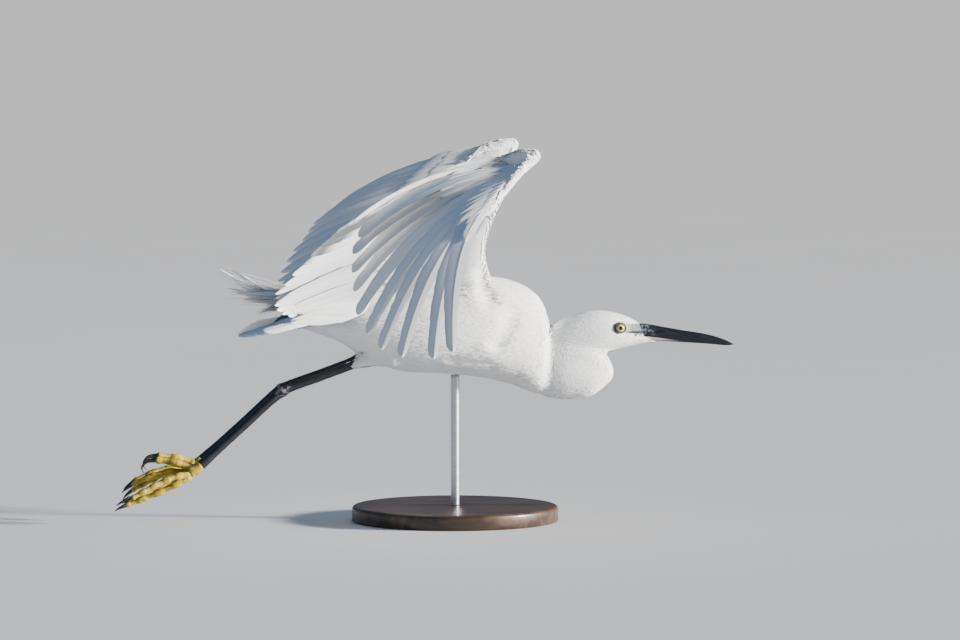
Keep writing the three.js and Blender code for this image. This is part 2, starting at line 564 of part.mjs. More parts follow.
// Legs. Each is built on the left with its own drop of the foot, and the right one is then mirrored.
function leg(drop) {
  const lowered = (p, share) => p.clone().add(point(-0.7, 0, -0.7).multiplyScalar(drop * share));
  const thighPath = through(KNEE.clone(), point(-76, 19, 153), SHANK_TOP.clone().add(point(-9, 0, -4)));
  const thigh = limb(thighPath, (share) => lerp(17, 5, share ** 0.8), { rings: 5, sides: 12, flat: 0.8 });
  const ankle = lowered(ANKLE, 0.2);
  const toeBase = lowered(TOE_BASE, 1);
  const shankPath = through(SHANK_TOP.clone().add(point(6, 0, 2.4)), SHANK_TOP.clone().lerp(ankle, 0.5), ankle.clone());
  const swell = (share, place, reach, size) => size * Math.exp(-(((share - place) / reach) ** 2));
  const shank = limb(
    shankPath,
    (share) => SHANK_RADIUS + swell(share, 1, 0.13, ANKLE_RADIUS - SHANK_RADIUS),
    { rings: 7, sides: 10, flat: 0.88 },
  );
  const tarsusPath = through(ankle.clone(), ankle.clone().lerp(toeBase, 0.5), toeBase.clone());
  const tarsus = limb(
    tarsusPath,
    (share) => TARSUS_RADIUS + swell(share, 0, 0.1, ANKLE_RADIUS - TARSUS_RADIUS) + swell(share, 1, 0.12, 1.3),
    { rings: 8, sides: 10, flat: 0.86 },
  );
  const bend = toeBase.clone().sub(ankle).normalize().add(ankle.clone().sub(SHANK_TOP).normalize());
  const [lower, upperLeg] = parted(join(shank, tarsus), ankle, bend);
  const THIGH_PLANE = [SHANK_TOP.clone().add(point(-4, 0, -1.6)), point(-0.92, 0, -0.39)];
  const upper = parted(upperLeg, ...THIGH_PLANE)[0];
  const [footEnd, tarsusPart] = parted(lower, toeBase.clone().add(point(7.5, 0, 6.7)), point(-1, 0, -0.9));

  // Toes: path, radius, number of pads and the path of the claw.
  const toes = {
    hallux: [[-240, 14, 52], [-257, 12.5, 57.6], [-275, 11, 60.2]],
    inner: [[-243, 13, 49], [-262, 9.5, 49.2], [-280, 7.5, 44.6], [-297, 6.5, 37.2]],
    middle: [[-242, 15.5, 46], [-262, 16, 35.6], [-283, 15, 26.4], [-303, 14.5, 19]],
    outer: [[-243, 17, 48], [-262, 21, 44], [-281, 24.5, 35.6], [-298, 26, 26.4]],
  };
  const claws = {
    hallux: [[-275, 11, 60.2], [-283.5, 10.6, 58.6], [-287.6, 10.4, 52.6], [-284.6, 10.6, 46.6]],
    inner: [[-297, 6.5, 37.2], [-300.5, 6.1, 34.4], [-304, 5.7, 31.8], [-306, 5.6, 29.6]],
    middle: [[-303, 14.5, 19], [-306.5, 14.3, 17.4], [-310, 14.1, 15.6], [-312.5, 14, 13.6]],
    outer: [[-298, 26, 26.4], [-301.5, 26.5, 23.6], [-304.5, 27, 20.6], [-306, 27.3, 17.8]],
  };
  const pads = { hallux: 2, inner: 3, middle: 4, outer: 5 };
  const thick = { hallux: 3.9, inner: 3.2, middle: 3.5, outer: 3.3 };
  const curve = (points) => through(...points.map(([x, y, z]) => lowered(point(x, y, z), 1)));
  let foot = join(footEnd, limb(
    through(toeBase.clone().add(point(7, 0, 6)), toeBase.clone(), toeBase.clone().add(point(-9, 0, -5.5))),
    (share) => lerp(4.6, 5.8, share),
    { rings: 4, sides: 10, flat: 0.95 },
  ).trimByPlane([-0.743, 0, -0.669], toeBase.clone().add(point(7.5, 0, 6.7)).dot(point(-0.743, 0, -0.669)) + GAP / 2));
  for (const [name, points] of Object.entries(toes)) {
    const radius = (share) => thick[name] * (lerp(1, 0.74, share) + 0.13 * Math.cos(2 * Math.PI * pads[name] * share));
    foot = join(foot, limb(curve(points), radius, { rings: pads[name] * 2, sides: 5 }));
  }
  const clawNodes = {};
  for (const [name, points] of Object.entries(claws)) {
    // A claw starts just past the flat end of its toe.
    const toe = curve(toes[name]);
    const ahead = toe(1).sub(toe(0.99)).normalize();
    const size = thick[name] * 0.48;
    const claw = limb(curve(points), (share) => lerp(size, 0.3, share ** 0.8), {
      rings: 4, sides: 6, flat: 1.3, up: point(0, 1, 0),
    });
    clawNodes[name] = claw.trimByPlane(ahead.toArray(), toe(1).dot(ahead) + GAP);
  }
  return {
    thigh: largest(parted(thigh, ...THIGH_PLANE)[1].subtract(bodyGrown)),
    shank: largest(upper.subtract(bodyGrown)),
    tarsus: largest(tarsusPart),
    foot: largest(foot),
    claws: clawNodes,
  };
}
const legs = { left: leg(-FOOT_DROP), right: leg(FOOT_DROP) };

// Stand: a round base and one rod up to the belly.
const lathe = (profile, sides) => solidOf(new THREE.LatheGeometry(profile.map(([r, z]) => new THREE.Vector2(r, z)), sides))
  .rotate([90, 0, 0]);
const standBase = lathe([
  [0, 0], [BASE_RADIUS, 0], [BASE_RADIUS, BASE_HEIGHT - BASE_EDGE], [BASE_RADIUS - BASE_EDGE, BASE_HEIGHT],
  [0, BASE_HEIGHT],
], 36);
const standRod = largest(lathe([
  [0, BASE_HEIGHT + GAP], [ROD_RADIUS, BASE_HEIGHT + GAP], [ROD_RADIUS, ROD_TOP], [0, ROD_TOP],
], 12).subtract(bodyGrown));

// The scene graph: one named mesh for each sub-part.
const egret = new THREE.Group();
function addPart(name, solid, material) {
  const mesh = solid.getMesh();
  const geometry = new THREE.BufferGeometry();
  const positions = new Float32Array(mesh.numVert * 3);
  for (let i = 0; i < mesh.numVert; i++) {
    positions.set(mesh.vertProperties.subarray(i * mesh.numProp, i * mesh.numProp + 3), i * 3);
  }
  geometry.setAttribute('position', new THREE.BufferAttribute(positions, 3));
  geometry.setIndex(new THREE.BufferAttribute(mesh.triVerts, 1));
  geometry.computeVertexNormals();
  const made = new THREE.Mesh(geometry, material);
  made.name = name;
  egret.add(made);
}

addPart('torso', largest(torsoWhole), PLUMAGE);
addPart('neck_base', largest(neckBaseWhole), PLUMAGE);
addPart('neck_loop', largest(neckLoopWhole), PLUMAGE);
addPart('head', largest(headShaped), PLUMAGE);
addPart('bill_upper', largest(upperBill), BILL_BLACK);
addPart('bill_lower', largest(lowerBill), BILL_BLACK);
addPart('tail', tailNode, PLUMAGE);
addPart('back_plumes', plumeNode, PLUMAGE);
for (const [name, side] of [['left', 1], ['right', -1]]) {
  const sided = (solid) => (side > 0 ? solid : mirrored(solid));
  addPart(`eye_${name}`, eyeball(side, EYE_RADIUS, 12, 7), IRIS_YELLOW);
  addPart(`wing_inner_${name}`, sided(innerNodes[name]), PLUMAGE);
  addPart(`wing_outer_${name}`, sided(outerNode), PLUMAGE);
  addPart(`thigh_${name}`, sided(legs[name].thigh), PLUMAGE);
  addPart(`shank_${name}`, sided(legs[name].shank), LEG_BLACK);
  addPart(`tarsus_${name}`, sided(legs[name].tarsus), LEG_BLACK);
  addPart(`foot_${name}`, sided(legs[name].foot), FOOT_YELLOW);
  for (const [toe, claw] of Object.entries(legs[name].claws)) {
    addPart(`claw_${toe}_${name}`, sided(claw), CLAW_BLACK);
  }
}
addPart('stand_base', standBase, BASE_WOOD);
addPart('stand_rod', standRod, ROD_STEEL);

export default egret;
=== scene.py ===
# %% [markdown]
# # A little egret in flight
#
# This script dresses the solid model of a small white heron: a skin, thousands of feathers, a horn bill,
# scaled legs and a plain stand. Every shape is worked out with numpy as a surface over two numbers, such as
# "how far along" and "how far round", and each finish is made of shader nodes. All sizes in the helpers are
# millimetres, because that is how a maker measures a bird, and they become metres in one place only.

import bpy
import numpy as np
from mathutils import Matrix


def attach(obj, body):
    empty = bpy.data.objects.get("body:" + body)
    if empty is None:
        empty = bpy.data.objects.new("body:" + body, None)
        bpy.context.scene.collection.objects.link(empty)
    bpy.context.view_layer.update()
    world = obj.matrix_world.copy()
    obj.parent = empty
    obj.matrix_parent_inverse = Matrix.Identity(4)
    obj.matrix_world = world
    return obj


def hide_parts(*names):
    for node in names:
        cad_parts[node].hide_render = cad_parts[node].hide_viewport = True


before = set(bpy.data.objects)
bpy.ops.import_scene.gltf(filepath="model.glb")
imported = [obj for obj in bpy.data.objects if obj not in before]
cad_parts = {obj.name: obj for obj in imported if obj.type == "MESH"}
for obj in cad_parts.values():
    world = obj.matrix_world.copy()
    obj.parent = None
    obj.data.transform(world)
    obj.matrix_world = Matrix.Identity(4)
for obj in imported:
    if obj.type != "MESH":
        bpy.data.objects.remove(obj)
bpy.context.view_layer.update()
MM = 0.001
chance = np.random.default_rng(11)

# %% [markdown]
# ## From arrays to a mesh
#
# A mesh is only corner points and the triangles between them. Blender could make them one by one, but a
# coat has hundreds of thousands, so whole arrays go in at once with foreach_set. A flat map (UV) says where
# each corner lies on a pattern, and a named number per corner (an attribute) carries small differences of
# tone from feather to feather.

# %% Helpers that fill meshes and closed tubes
def piece(name, points, triangles, finish, maps=None, tone=None, shade=None):
    """A mesh object from corner points in millimetres and rows of three corner numbers.
    maps gives named UV coordinates, one pair for each corner of each triangle. shade gives a direction for
    each such corner that the light should see instead of the mesh's own."""
    mesh = bpy.data.meshes.new(name)
    points = np.asarray(points, float).reshape(-1, 3)
    triangles = np.asarray(triangles, np.int32).reshape(-1, 3)
    mesh.vertices.add(len(points))
    mesh.vertices.foreach_set("co", (points * MM).ravel())
    mesh.loops.add(triangles.size)
    mesh.loops.foreach_set("vertex_index", triangles.ravel())
    mesh.polygons.add(len(triangles))
    mesh.polygons.foreach_set("loop_start", np.arange(0, triangles.size, 3, dtype=np.int32))
    for label, pairs in (maps or {}).items():
        mesh.uv_layers.new(name=label).data.foreach_set("uv", np.asarray(pairs, float).ravel())
    if tone is not None:
        tones = mesh.attributes.new("tone", "FLOAT", "POINT").data
        tones.foreach_set("value", np.asarray(tone, float).ravel())
    mesh.update(calc_edges=True)
    mesh.shade_smooth()
    if shade is not None:
        mesh.normals_split_custom_set(unit(np.asarray(shade, float).reshape(-1, 3)).tolist())
    mesh.materials.append(finish)
    made = bpy.data.objects.new(name, mesh)
    bpy.context.scene.collection.objects.link(made)
    print(f"{name}: {len(triangles)} triangles")
    return made


def tube_triangles(rings, sides):
    """Triangles of a tube of rings x sides points, whose two ends are closed round one middle point each.
    The start's middle point is number rings * sides and the end's is the one after it."""
    i, j = np.meshgrid(np.arange(rings - 1), np.arange(sides), indexing="ij")
    a = i * sides + j
    b = i * sides + (j + 1) % sides
    wall = np.stack([a, b, a + sides, b, b + sides, a + sides], -1).reshape(-1, 3)
    k = np.arange(sides)
    following = (k + 1) % sides
    start = np.stack([following, k, np.full(sides, rings * sides)], -1)
    last = (rings - 1) * sides
    end = np.stack([last + k, last + following, np.full(sides, rings * sides + 1)], -1)
    return np.concatenate([wall, start, end])


def tube(rings):
    """A closed tube from an array of rings (rings, sides, 3). Its faces are turned to point outwards:
    the signed volume, a sixth of the sum of a . (b x c) over the triangles, must be above zero."""
    count, sides, _ = rings.shape
    points = np.concatenate([rings.reshape(-1, 3), rings[:1].mean(1), rings[-1:].mean(1)])
    triangles = tube_triangles(count, sides)
    a, b, c = points[triangles.T]
    if (a * np.cross(b, c)).sum() < 0:
        triangles = triangles[:, ::-1]
    return points, triangles


def tube_map(triangles, rings, sides, width, height):
    """Flat coordinates of a tube: across is the share round it times width, and up is the share along it
    times height. The last strip round the tube runs on past the seam, so that a pattern isn't squeezed."""
    ring = np.append(np.repeat(np.arange(rings), sides), [0, rings - 1])
    around = np.append(np.tile(np.arange(sides), rings), [0, 0])
    u = around[triangles] / sides
    middle = triangles >= rings * sides
    u = np.where((u == 0) & (u.max(1, keepdims=True) > 0.6), 1.0, u)
    u = np.where(middle, u.mean(1, keepdims=True), u)
    v = ring[triangles] / (rings - 1)
    return np.stack([u * width, v * height], -1)


def unit(vectors):
    """Vectors at length one."""
    return vectors / np.maximum(np.linalg.norm(vectors, axis=-1, keepdims=True), 1e-9)


def blend(a, b, share):
    """A straight mix of a and b."""
    return a + (b - a) * share


# %% [markdown]
# ## Curves through a few points
#
# The limbs and the edges of the wings are smooth curves through three to ten points. A curve that is pulled
# by its points evenly would loop where they lie close together, so the spacing enters by the square root of
# the distance. The same kind of curve made the solid model, which is how both keep one shape.

# %% Curves and stations
def through(*points):
    """A smooth curve through points, as a function of an array of shares from 0 to 1.
    Between two points it is a cubic whose end slopes come from the neighbours, spaced by distance ** 0.5."""
    p = np.asarray(points, float)
    p = np.concatenate([[2 * p[0] - p[1]], p, [2 * p[-1] - p[-2]]])

    def at(share):
        share = np.clip(np.asarray(share, float), 0, 1) * (len(p) - 3)
        k = np.minimum(share.astype(int), len(p) - 4)
        w = (share - k)[..., None]
        a, b, c, d = p[k], p[k + 1], p[k + 2], p[k + 3]
        t0, t1, t2 = (np.linalg.norm(y - x, axis=-1, keepdims=True) ** 0.5
                      for x, y in ((a, b), (b, c), (c, d)))
        s0 = t1 * ((b - a) / t0 - (c - a) / (t0 + t1) + (c - b) / t1)
        s1 = t1 * ((c - b) / t1 - (d - b) / (t1 + t2) + (d - c) / t2)
        return b + s0 * w + (3 * (c - b) - 2 * s0 - s1) * w**2 + (2 * (b - c) + s0 + s1) * w**3

    return at


def stations(table):
    """Rows of x and some sizes as a function of an array of x, by cubic steps between the rows."""
    t = np.asarray(table, float)

    def at(x):
        x = np.asarray(x, float)
        k = np.clip(np.searchsorted(t[:, 0], x, side="left") - 1, 0, len(t) - 2)
        before, a, b, after = t[np.maximum(k - 1, 0)], t[k], t[k + 1], t[np.minimum(k + 2, len(t) - 1)]
        span = (b - a)[..., :1]
        u = np.clip((x[..., None] - a[..., :1]) / span, 0, 1)
        slope_a = (b - before) / (b - before)[..., :1] * span
        slope_b = (after - a) / (after - a)[..., :1] * span
        row = (2 * u**3 - 3 * u**2 + 1) * a + (u**3 - 2 * u**2 + u) * slope_a
        row = row + (3 * u**2 - 2 * u**3) * b + (u**3 - u**2) * slope_b
        return [row[..., c] for c in range(1, t.shape[1])]

    return at


def body_form(table, rings, sides, power, grow):
    """Rings of a rounded form from x, top, bottom and half width. Each section is a superellipse:
    (y / half) ** power + (z / height) ** power = 1."""
    share = 0.5 - 0.5 * np.cos(np.pi * np.arange(rings + 1) / rings)
    x = blend(table[0][0], table[-1][0], share)
    top, bottom, half = (value[:, None] for value in stations(table)(x))
    turn = 2 * np.pi * np.arange(sides) / sides
    y, z = (np.sign(v) * np.abs(v) ** (2 / power) for v in (np.sin(turn), np.cos(turn)))
    x = x + grow * np.where(share == 0, -1, np.where(share == 1, 1, 0))
    return np.stack(np.broadcast_arrays(
        x[:, None], (half + grow) * y, (top + bottom) / 2 + ((top - bottom) / 2 + grow) * z), -1)


def limb(path, radius, rings, sides, flat=1.0, up=(0, 0, 1)):
    """Rings round a path. The radius is a function of the share of the way, flat narrows it sideways."""
    share = np.linspace(0, 1, rings + 1)
    along = unit(path(share + 0.01) - path(share - 0.01))[:, None]
    side = unit(np.cross(along, np.broadcast_to(np.asarray(up, float), along.shape)))
    over = np.cross(side, along)
    turn = 2 * np.pi * (np.arange(sides) + 0.5) / sides
    r = radius(share)[:, None, None]
    return path(share)[:, None] + r * (flat * side * np.cos(turn)[:, None] + over * np.sin(turn)[:, None])


MIRROR = np.array([1.0, -1.0, 1.0])

# %% [markdown]
# ## Finishes as expressions
#
# A material is a net of nodes. Written out link by link it is long and hard to read, so a small class wraps
# one socket, and plain arithmetic on it adds the Math nodes. Colours and directions go through nodes of
# their own, since a Math node would turn a colour grey.

# %% A socket that does arithmetic, and a finish that makes nodes
class Value:
    """One output of a node. Arithmetic on it adds a Math node and gives that node's output."""

    def __init__(self, finish, socket):
        self.finish, self.socket = finish, socket

    def math(self, operation, *others):
        """A Math node on this value and others."""
        return self.finish.node("ShaderNodeMath", {"operation": operation}, dict(enumerate([self, *others])))

    def __add__(self, other):
        return self.math("ADD", other)

    def __sub__(self, other):
        return self.math("SUBTRACT", other)

    def __rsub__(self, other):
        return self.finish.node("ShaderNodeMath", {"operation": "SUBTRACT"}, {0: other, 1: self})

    def __mul__(self, other):
        return self.math("MULTIPLY", other)

    __radd__, __rmul__ = __add__, __mul__

    def between(self, low, high):
        """A smooth step: 0 below low, 1 above high."""
        return self.finish.node("ShaderNodeMapRange", {"interpolation_type": "SMOOTHSTEP"},
                                {"Value": self, "From Min": low, "From Max": high})


class Finish:
    """A material: node() adds any node, and the constants go straight on the shader's own sockets."""

    def __init__(self, name, **constants):
        self.material = bpy.data.materials.new(name)
        self.material.use_nodes = True
        self.tree = self.material.node_tree
        self.shader = self.tree.nodes["Principled BSDF"]
        for label, value in constants.items():
            self.shader.inputs[label.replace("_", " ")].default_value = value

    def node(self, kind, settings, inputs, output=0):
        """A node of a kind: its settings first, then the numbers or links of its inputs."""
        made = self.tree.nodes.new(kind)
        for label, value in settings.items():
            if label == "stops":
                stops = made.color_ramp.elements
                while len(stops) < len(value):
                    stops.new(0.5)
                for stop, (place, colour) in zip(stops, value):
                    stop.position, stop.color = place, (*colour, 1)
            else:
                setattr(made, label, value)
        for label, value in inputs.items():
            if isinstance(value, Value):
                self.tree.links.new(value.socket, made.inputs[label])
            else:
                made.inputs[label].default_value = value
        return Value(self, made.outputs[output])

    def place(self):
        """Where a point of the piece is: its Object coordinates, in metres."""
        return self.node("ShaderNodeTexCoord", {}, {}, "Object")

    def flat(self):
        """Where a point lies on the piece's flat map."""
        return self.node("ShaderNodeUVMap", {"uv_map": "pattern"}, {})

    def axes(self, vector):
        """The three numbers of a vector, each as a value of its own."""
        split = self.node("ShaderNodeSeparateXYZ", {}, {"Vector": vector})
        return [Value(self, output) for output in split.socket.node.outputs]

    def stretched(self, vector, scale):
        """A vector with each axis scaled by a number of its own."""
        return self.node("ShaderNodeVectorMath", {"operation": "MULTIPLY"}, {0: vector, 1: scale})

    def noise(self, vector, scale, detail=3.0, rough=0.5):
        """A cloudy pattern from 0 to 1."""
        return self.node("ShaderNodeTexNoise", {},
                         {"Vector": vector, "Scale": scale, "Detail": detail, "Roughness": rough})

    def ramp(self, value, *stops):
        """Colours by a value, from rows of a place and a colour."""
        return self.node("ShaderNodeValToRGB", {"stops": stops}, {"Fac": value})

    def mixed(self, factor, a, b):
        """A mix of two colours."""
        pad = [c if isinstance(c, Value) else (*c, 1) for c in (a, b)]
        return self.node("ShaderNodeMix", {"data_type": "RGBA"}, {0: factor, 6: pad[0], 7: pad[1]}, 2)

    def feed(self, **links):
        """Links values to the shader's sockets."""
        for label, value in links.items():
            self.tree.links.new(value.socket, self.shader.inputs[label.replace("_", " ")])

    def bump(self, height, strength, distance):
        """Raises the surface by a height pattern. The distance is in metres."""
        self.feed(Normal=self.node("ShaderNodeBump", {},
                                   {"Height": height, "Strength": strength, "Distance": distance}))


# %% [markdown]
# ## White plumage
#
# A white feather is never one flat white. Its barbs lie side by side like the strokes of a fine brush, and no
# two feathers are quite the same tone. The stroke pattern follows the flat map of each feather, and its tone
# comes from the number stored with it. Two finishes share this idea: soft small feathers of the body, and the
# smooth webs of the large ones with their ivory shaft. On the large ones a blue-grey shade is also painted
# along the edges and over one side of each web, the shade that falls where feathers overlap.

# %% Finishes of small and large feathers
def soft_plumage():
    """Small body feathers: a warm white, a little grey at the root, with strokes along the feather."""
    paint = Finish("soft_white_plumage", Roughness=0.82, Sheen_Weight=0.12, Sheen_Roughness=0.5,
                   Specular_IOR_Level=0.25)
    _, along, _ = paint.axes(paint.flat())
    tone = paint.node("ShaderNodeAttribute", {"attribute_name": "tone"}, {}, "Fac")
    strokes = paint.noise(paint.stretched(paint.flat(), (22, 2.2, 1)), 1.0, 2.0)
    base = paint.mixed(tone, (0.84, 0.845, 0.85), (0.91, 0.905, 0.89))
    rooted = paint.mixed(along.between(0.0, 0.55), (0.80, 0.81, 0.82), base)
    streaked = paint.mixed(strokes.between(0.35, 0.7) * 0.35, rooted, (0.95, 0.95, 0.94))
    paint.feed(Base_Color=streaked)
    paint.bump(strokes, 0.2, 0.0003)
    return paint.material


def vane_plumage():
    """Large feathers: a smooth web of slanting barbs each side of an ivory shaft, with painted shade on edges
    and one side.
    """
    paint = Finish("white_vanes", Roughness=0.62, Sheen_Weight=0.08, Specular_IOR_Level=0.35)
    across, along, _ = paint.axes(paint.flat())
    tone = paint.node("ShaderNodeAttribute", {"attribute_name": "tone"}, {}, "Fac")
    off_shaft = (across - 0.5).math("ABSOLUTE")
    slant = paint.node("ShaderNodeCombineXYZ", {},
                       {"X": (along - off_shaft * 0.3) * 130, "Y": off_shaft * 3, "Z": tone * 40})
    barbs = paint.noise(slant, 1.0, 3.0, 0.6)
    web = paint.mixed(tone, (0.80, 0.81, 0.82), (0.90, 0.90, 0.885))
    clouds = paint.noise(paint.place(), 60.0, 3.0)
    web = paint.mixed(clouds.between(0.35, 0.75) * 0.3, web, (0.74, 0.76, 0.79))
    # Painted shade: one side of each feather darkens to blue-grey, as where it lies under its neighbour.
    web = paint.mixed(across.between(0.1, 0.8) * 0.55, web, (0.60, 0.63, 0.69))
    web = paint.mixed(barbs.between(0.35, 0.7) * 0.3, web, (0.93, 0.93, 0.92))
    # Painted shade: the edges of each feather darken to blue-grey, as between overlapping feathers.
    web = paint.mixed(off_shaft.between(0.24, 0.5) * 0.5, web, (0.62, 0.65, 0.71))
    shaft = 1 - off_shaft.between(0.012, 0.03)
    paint.feed(Base_Color=paint.mixed(shaft, web, (0.80, 0.77, 0.68)))
    paint.bump(barbs + clouds, 0.25, 0.00025)
    return paint.material


SOFT_WHITE = soft_plumage()
VANE_WHITE = vane_plumage()
print("plumage:", SOFT_WHITE.name, VANE_WHITE.name)

# %% [markdown]
# ## Sizes of the body
#
# The trunk, the loop of the folded neck and the head are rounded forms, each told by a few stations of top,
# bottom and half width along the bird. The wings hang on a flat arm and a slim hand. The skin lies a little
# inside these forms, because the feathers that cover it have a thickness of their own.

# %% Stations and curves that the whole bird is made from
TRUNK = [
    (-147, 185, 180, 4), (-132, 194, 174.5, 16), (-108, 203, 166, 27), (-84, 209, 151, 35),
    (-52, 214, 138.5, 41),
    (-10, 219, 135.5, 43.5), (30, 226, 130.5, 40), (54, 221.5, 124, 33), (71, 212.5, 117.5, 27),
    (82, 199.5, 116, 20.5), (88, 178, 122, 10),
]
NECK_LOOP = [
    (74, 168, 119, 8), (82, 175, 114.2, 14.5), (96, 180, 110.6, 17.5), (112, 180, 110.8, 18),
    (126, 172, 113.4, 17),
    (136, 160, 120.4, 14.5), (143, 148, 126.6, 10.5), (146.6, 139, 132, 4),
]
HEAD = [
    (83, 174, 160, 6), (90, 180.2, 152, 13), (100, 186.4, 148, 16), (114, 191.8, 149, 17.3),
    (130, 194, 151.5, 17.6),
    (145, 192.6, 155.8, 16.2), (158, 188.8, 158.2, 12.8), (168, 183.6, 160, 9.4), (178, 176.5, 161.6, 6.6),
    (190, 168.6, 163.2, 3.6), (196, 166, 164.2, 1.2),
]
EYE = np.array([151.2, 12.1, 177.7])
EYE_RADIUS = 5.2
KNEE, SHANK_TOP = np.array([-58, 20, 158.0]), np.array([-90, 17, 147.5])
ANKLE, TOE_BASE = np.array([-159.5, 15.5, 122.4]), np.array([-235, 15, 54.5])

arm_front = through((34, 10, 222), (24, 55, 254), (33, 92, 294), (51.5, 108, 322), (68, 106.5, 341))
arm_rear = through((-22, 10, 214), (-20, 60, 256), (-4, 78, 277), (20, 92, 308), (43, 100, 341))
inner_root = through((-4, 22, 219), (-14, 58, 254), (-4, 74, 272), (26, 91, 305), (50, 101, 335))
inner_tip = through((-157, 40, 197), (-168, 62, 204), (-168, 82, 217), (-144, 102, 245), (-123, 114, 268),
                    (-98, 120, 285))
hand_spine = through((65, 104, 340.5), (46, 122, 325), (29, 141, 307), (15, 160, 291))
primary_root = through((51, 108, 332), (43, 124, 324.5), (27, 141, 309), (14.5, 159, 293.5))
primary_tip = through(
    (-97, 121, 269), (-102, 118, 254), (-102.5, 116, 237), (-101, 116, 220), (-99.5, 139, 200.5),
    (-93, 181, 186),
    (-83.4, 217, 175), (-68, 254, 171), (-42.3, 284, 172), (-26.2, 293, 178.5))


def inner_bow(place):
    """How far the feathers of the inner wing bulge, from the body at 0 to the wrist at 1."""
    return np.array([-1, -2.4, 11]) * blend(0.6, 1.15, place)[..., None]


def primary_bow(place):
    """How far the primaries bulge, from the innermost at 0 to the outermost at 1."""
    return np.array([-9, 4.5, 15]) * blend(0.8, 1.1, place)[..., None]


# %% [markdown]
# ## One skin
#
# Under its feathers a bird has one skin without seams, from the face to the wrists. Modelling it as one
# surface by hand would be slow. Here the simple forms are laid into each other and Blender's voxel remesh
# turns them into one shell, and a few rounds of averaging each point with its neighbours soften the folds
# where they meet.

# %% Flesh forms, remeshed into one shell
COAT_DEPTH = 1.1


def arm_form(side):
    """Rings of the arm: flat ellipses between its front and rear edges. The last few lie past the wrist and
    shrink by sqrt(1 - (distance / 6.2) ** 2), which rounds off the end."""
    share = np.append(np.linspace(0, 1, 26), np.ones(5))
    beyond = np.append(np.zeros(26), [1.6, 3.2, 4.6, 5.6, 6.1])[:, None]
    middle = blend(arm_front(share), arm_rear(share), 0.5)
    chord = (arm_front(share) - arm_rear(share)) / 2
    ahead = unit(middle - blend(arm_front(share - 0.02), arm_rear(share - 0.02), 0.5))
    ahead[0] = ahead[1]
    over = unit(np.cross(unit(chord), ahead))
    turn = 2 * np.pi * np.arange(24) / 24
    rounding = np.sqrt(1 - (beyond / 6.2) ** 2)[..., None]
    thick = (blend(9, 5.2, share)[:, None, None] - COAT_DEPTH * 0.8) * rounding
    ring = (middle + ahead * beyond)[:, None] + chord[:, None] * 0.97 * rounding * np.cos(turn)[:, None]
    ring = ring + over[:, None] * thick * np.sin(turn)[:, None]
    return ring * (MIRROR if side < 0 else 1)


def wrist_form(side):
    """Rings of the rounded wrist, which stands forward of the arm like a thumb joint."""
    path = through((18, 94, 326), (38, 99.5, 339), (54, 104, 343), (69.5, 106.5, 342.2))

    def radius(s):
        rounding = np.sqrt(1 - 0.96 * (np.clip(s - 0.88, 0, 1) / 0.12) ** 2)
        return blend(2.6, 5.4, np.clip(s / 0.7, 0, 1)) * rounding - COAT_DEPTH * 0.7

    return limb(path, radius, 34, 20, 0.9) * (MIRROR if side < 0 else 1)


def hand_form(side):
    """Rings of the hand, slim towards its tip."""
    rings = limb(hand_spine, lambda s: blend(7.2, 3.2, s) - COAT_DEPTH * 0.6, 16, 16, 0.75, (0.7, 0.2, 0.7))
    return rings * (MIRROR if side < 0 else 1)


def thigh_form(side):
    """Rings of the feathered thigh."""
    path = through(KNEE, (-76, 19, 153), SHANK_TOP + (-9, 0, -4))
    rings = limb(path, lambda s: blend(17, 4, s**0.8) - COAT_DEPTH, 16, 20, 0.8)
    return rings * (MIRROR if side < 0 else 1)


def flesh():
    """All flesh forms, as points and triangles of one mesh."""
    forms = [
        body_form(TRUNK, 60, 64, 2.15, -COAT_DEPTH), body_form(NECK_LOOP, 40, 48, 2.2, -COAT_DEPTH),
        body_form(HEAD, 50, 48, 2.15, -0.9),
    ]
    forms += [make(side) for make in (arm_form, wrist_form, hand_form, thigh_form) for side in (1, -1)]
    points, triangles, start = [], [], 0
    for rings in forms:
        p, t = tube(rings)
        points.append(p)
        triangles.append(t + start)
        start += len(p)
    return np.concatenate(points), np.concatenate(triangles)


def remeshed(points, triangles, size):
    """One closed shell round overlapping forms, by Blender's voxel remesh: points and four-sided faces."""
    draft = piece("draft", points, triangles, SOFT_WHITE)
    change = draft.modifiers.new("shell", "REMESH")
    change.mode, change.voxel_size = "VOXEL", size * MM
    shell = draft.evaluated_get(bpy.context.evaluated_depsgraph_get()).to_mesh()
    p = np.empty(len(shell.vertices) * 3)
    shell.vertices.foreach_get("co", p)
    f = np.empty(len(shell.loops), np.int32)
    shell.loops.foreach_get("vertex_index", f)
    bpy.data.objects.remove(draft)
    return p.reshape(-1, 3) / MM, f.reshape(-1, 4)


def averaged(points, quads, rounds, share=0.5):
    """Moves each point towards the mean of its neighbours: p + share * (mean - p), a few rounds over."""
    ends = np.concatenate([quads[:, [k, (k + 1) % 4]] for k in range(4)])
    count = np.bincount(ends[:, 0], minlength=len(points))[:, None]
    for _ in range(rounds):
        total = np.stack([np.bincount(ends[:, 0], points[ends[:, 1], axis], len(points))
                          for axis in range(3)], -1)
        points = points + share * (total / count - points)
    return points


SKIN_VOXEL, SOFTENING_ROUNDS = 1.4, 14
skin_points, skin_quads = remeshed(*flesh(), SKIN_VOXEL)
skin_points = averaged(skin_points, skin_quads, SOFTENING_ROUNDS)
print("skin:", len(skin_points), "points,", len(skin_quads), "faces")

# %% [markdown]
# ## The face
#
# The bare skin of the face is what gives an egret its look: a dark ring round the eye, a pale greenish
# patch in front of it, and blue-grey skin mottled with black that runs into the bill. The hollow for the
# eye and the fold of the mouth are small, so instead of cutting them the points of the skin are moved: each
# is a smooth dent, deepest at its middle.

# %% Dents of the eye and the mouth, and the edge of the bare skin
mouth_line = stations([(150, 172.6), (160, 172.2), (177.6, 169.9), (203, 166.9), (235.5, 164.1),
                       (257.6, 160.8)])


